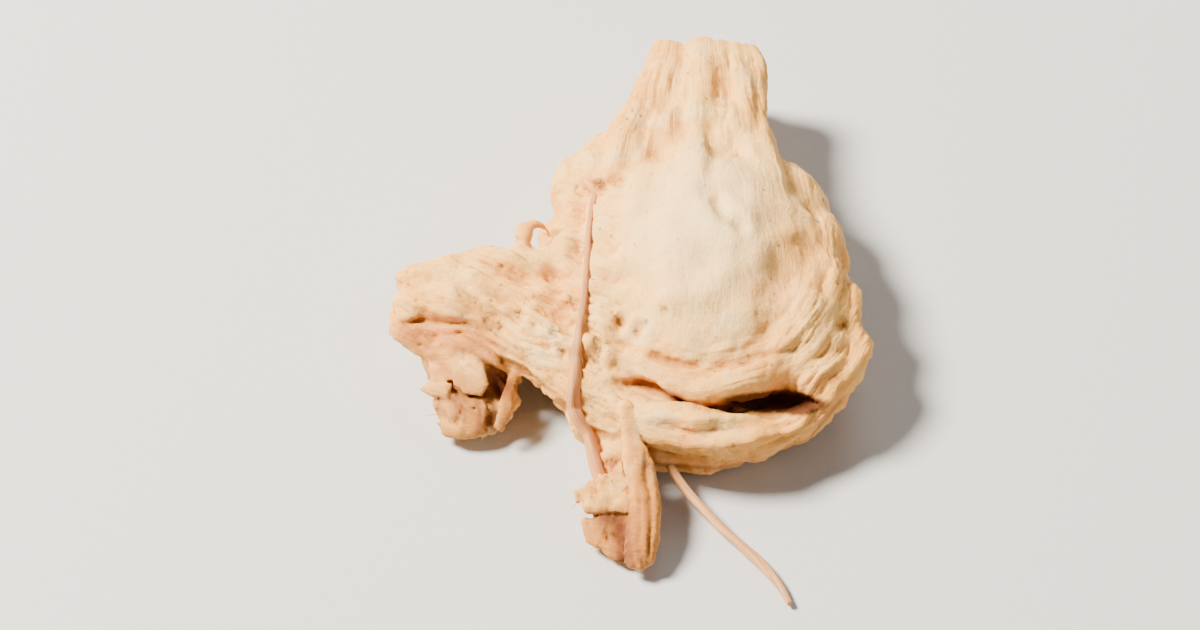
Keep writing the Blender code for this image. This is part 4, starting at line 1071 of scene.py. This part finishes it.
def addFibres(mesh, covered, material):
    # hair-thin fibres: stiff ones at the cut neck and the torn ends, loose ones on the open skin
    points, normals = meshArrays(mesh)
    where = regions(points, normals)
    draw = random.Random(17)
    aimNeck = rhizome["neckCut"][1]
    reach = (points.min(0) + (-0.2, -0.2, 0.1), points.max(0) + 0.25)
    work = bmesh.new()
    tone = rootLayers(work)

    def grow(pick, aim, kind):
        length = draw.uniform(*kind["length"])
        lift = draw.uniform(*kind["lift"]) if "lift" in kind else 0.0
        curl = draw.uniform(*kind["curl"])
        normal = Vector(normals[pick])
        start = Vector(points[pick]) - normal * hairFibres["rooted"]
        side = aim.orthogonal().normalized()
        side.rotate(Matrix.Rotation(draw.uniform(0, 2 * math.pi), 3, aim))
        thick = draw.uniform(*hairFibres["thickness"])
        path = []
        for step in range(hairFibres["steps"] + 1):
            t = step / hairFibres["steps"]
            place = start + aim * (length * t) + side * (curl * length * t * t) + normal * (lift * t)
            path.append(Vector((*place, thick * (1 - 0.6 * t))))
        inside = all(low < point[axis] < high for point in path for axis, low, high in zip(range(3), *reach))
        if inside:
            for vert in growTube(work, path, hairFibres["sides"]):
                vert[tone] = draw.uniform(0.0, 0.5)

    def picks(mask, kind):
        chosen = np.flatnonzero(mask > 0.5)
        return [int(chosen[draw.randrange(len(chosen))]) for _ in range(kind["count"])]

    def strayed(vector, kind):
        jitter = Vector([draw.uniform(-kind["stray"], kind["stray"]) for _ in range(3)])
        return (vector + jitter).normalized()

    kind = hairFibres["neckEnd"]
    for pick in picks(where["cutEnd"], kind):
        grow(pick, strayed(aimNeck, kind), kind)
    kind = hairFibres["torn"]
    for pick in picks((where["crumple"] + where["stub"]) * (covered < 0.3), kind):
        grow(pick, strayed(Vector(normals[pick]), kind), kind)
    kind = hairFibres["body"]
    for pick in picks((1 - where["crown"] - where["under"]) * (covered < 0.15), kind):
        grow(pick, Vector(normals[pick]).cross(strayed(Vector((1, 0, 0)), kind)).normalized(), kind)
    return finishTubes(work, "hairFibres", material)


studio = dict(
    aim=(-0.0012, -0.0006, 0.0028), elevation=math.radians(50), distance=0.212, lens=150,
    keyPlace=(-0.22, 0.05, 0.27), keySize=0.11, keyPower=6.3, keyColour=(1.0, 0.90, 0.76),
    fillPlace=(0.32, -0.14, 0.20), fillSize=0.30, fillPower=0.32, fillColour=(1.0, 0.95, 0.88),
    backPlace=(0.05, 0.34, 0.26), backSize=0.25, backPower=0.6, backColour=(1.0, 0.96, 0.90),
    world=0.19, worldColour=(1.0, 0.985, 0.96, 1),
)
floorLook = dict(
    dim=srgb(196, 198, 200), pale=srgb(203, 205, 208), specular=0.5, scatter=0.0, roughness=0.8,
    grain=(0.08, 0.0001),
)


def addFloor():
    work = bmesh.new()
    bmesh.ops.create_grid(work, x_segments=1, y_segments=1, size=2.0)
    mesh = meshFrom(work, "floor")
    look = floorLook
    n = Nodes("palePaper")
    fine = n.noise(n.millimetres(), 2.5, 4, 0.6)
    colour = n.mix(fine, look["dim"], look["pale"])
    mesh.materials.append(n.surface(look, colour, look["roughness"], n.bump(fine, *look["grain"])))
    floor = linked("paleFloor", mesh)


def addLight(name):
    light = bpy.data.lights.new(name, "AREA")
    light.shape = "DISK"
    light.size = studio[name + "Size"]
    light.energy = studio[name + "Power"]
    light.color = studio[name + "Colour"]
    obj = linked(name, light)
    obj.location = studio[name + "Place"]
    obj.rotation_euler = (Vector(studio["aim"]) - obj.location).to_track_quat("-Z", "Y").to_euler()


def addStudio():
    addFloor()
    for name in ("key", "fill", "back"):
        addLight(name)
    world = bpy.data.worlds.new("softRoom")
    world.use_nodes = True
    background = world.node_tree.nodes["Background"]
    background.inputs[0].default_value = studio["worldColour"]
    background.inputs[1].default_value = studio["world"]
    bpy.context.scene.world = world
    lens = bpy.data.cameras.new("camera")
    lens.lens = studio["lens"]
    camera = linked("camera", lens)
    back = Vector((0, -math.cos(studio["elevation"]), math.sin(studio["elevation"])))
    camera.location = Vector(studio["aim"]) + back * studio["distance"]
    camera.rotation_euler = (-back).to_track_quat("-Z", "Y").to_euler()
    lens.clip_start = 0.005
    bpy.context.scene.camera = camera


skinMesh = buildSkin()
rootMaterial = rootletMaterial()
rootlets = addRootlets(skinTree(skinMesh), rootMaterial)
covered = shelter(skinMesh)
fibres = addFibres(skinMesh, covered, rootMaterial)
markSkin(skinMesh, covered)
toPlace(skinMesh)
skinMesh.shade_smooth()
skinMesh.materials.append(fleshMaterial())
skin = linked("rhizomeSkin", skinMesh)
for piece in (skin, rootlets, fibres):
    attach(piece, "root")
    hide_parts(rhizome["node"])
    print(piece.name, sum(len(p.vertices) - 2 for p in piece.data.polygons), "triangles")
addStudio()
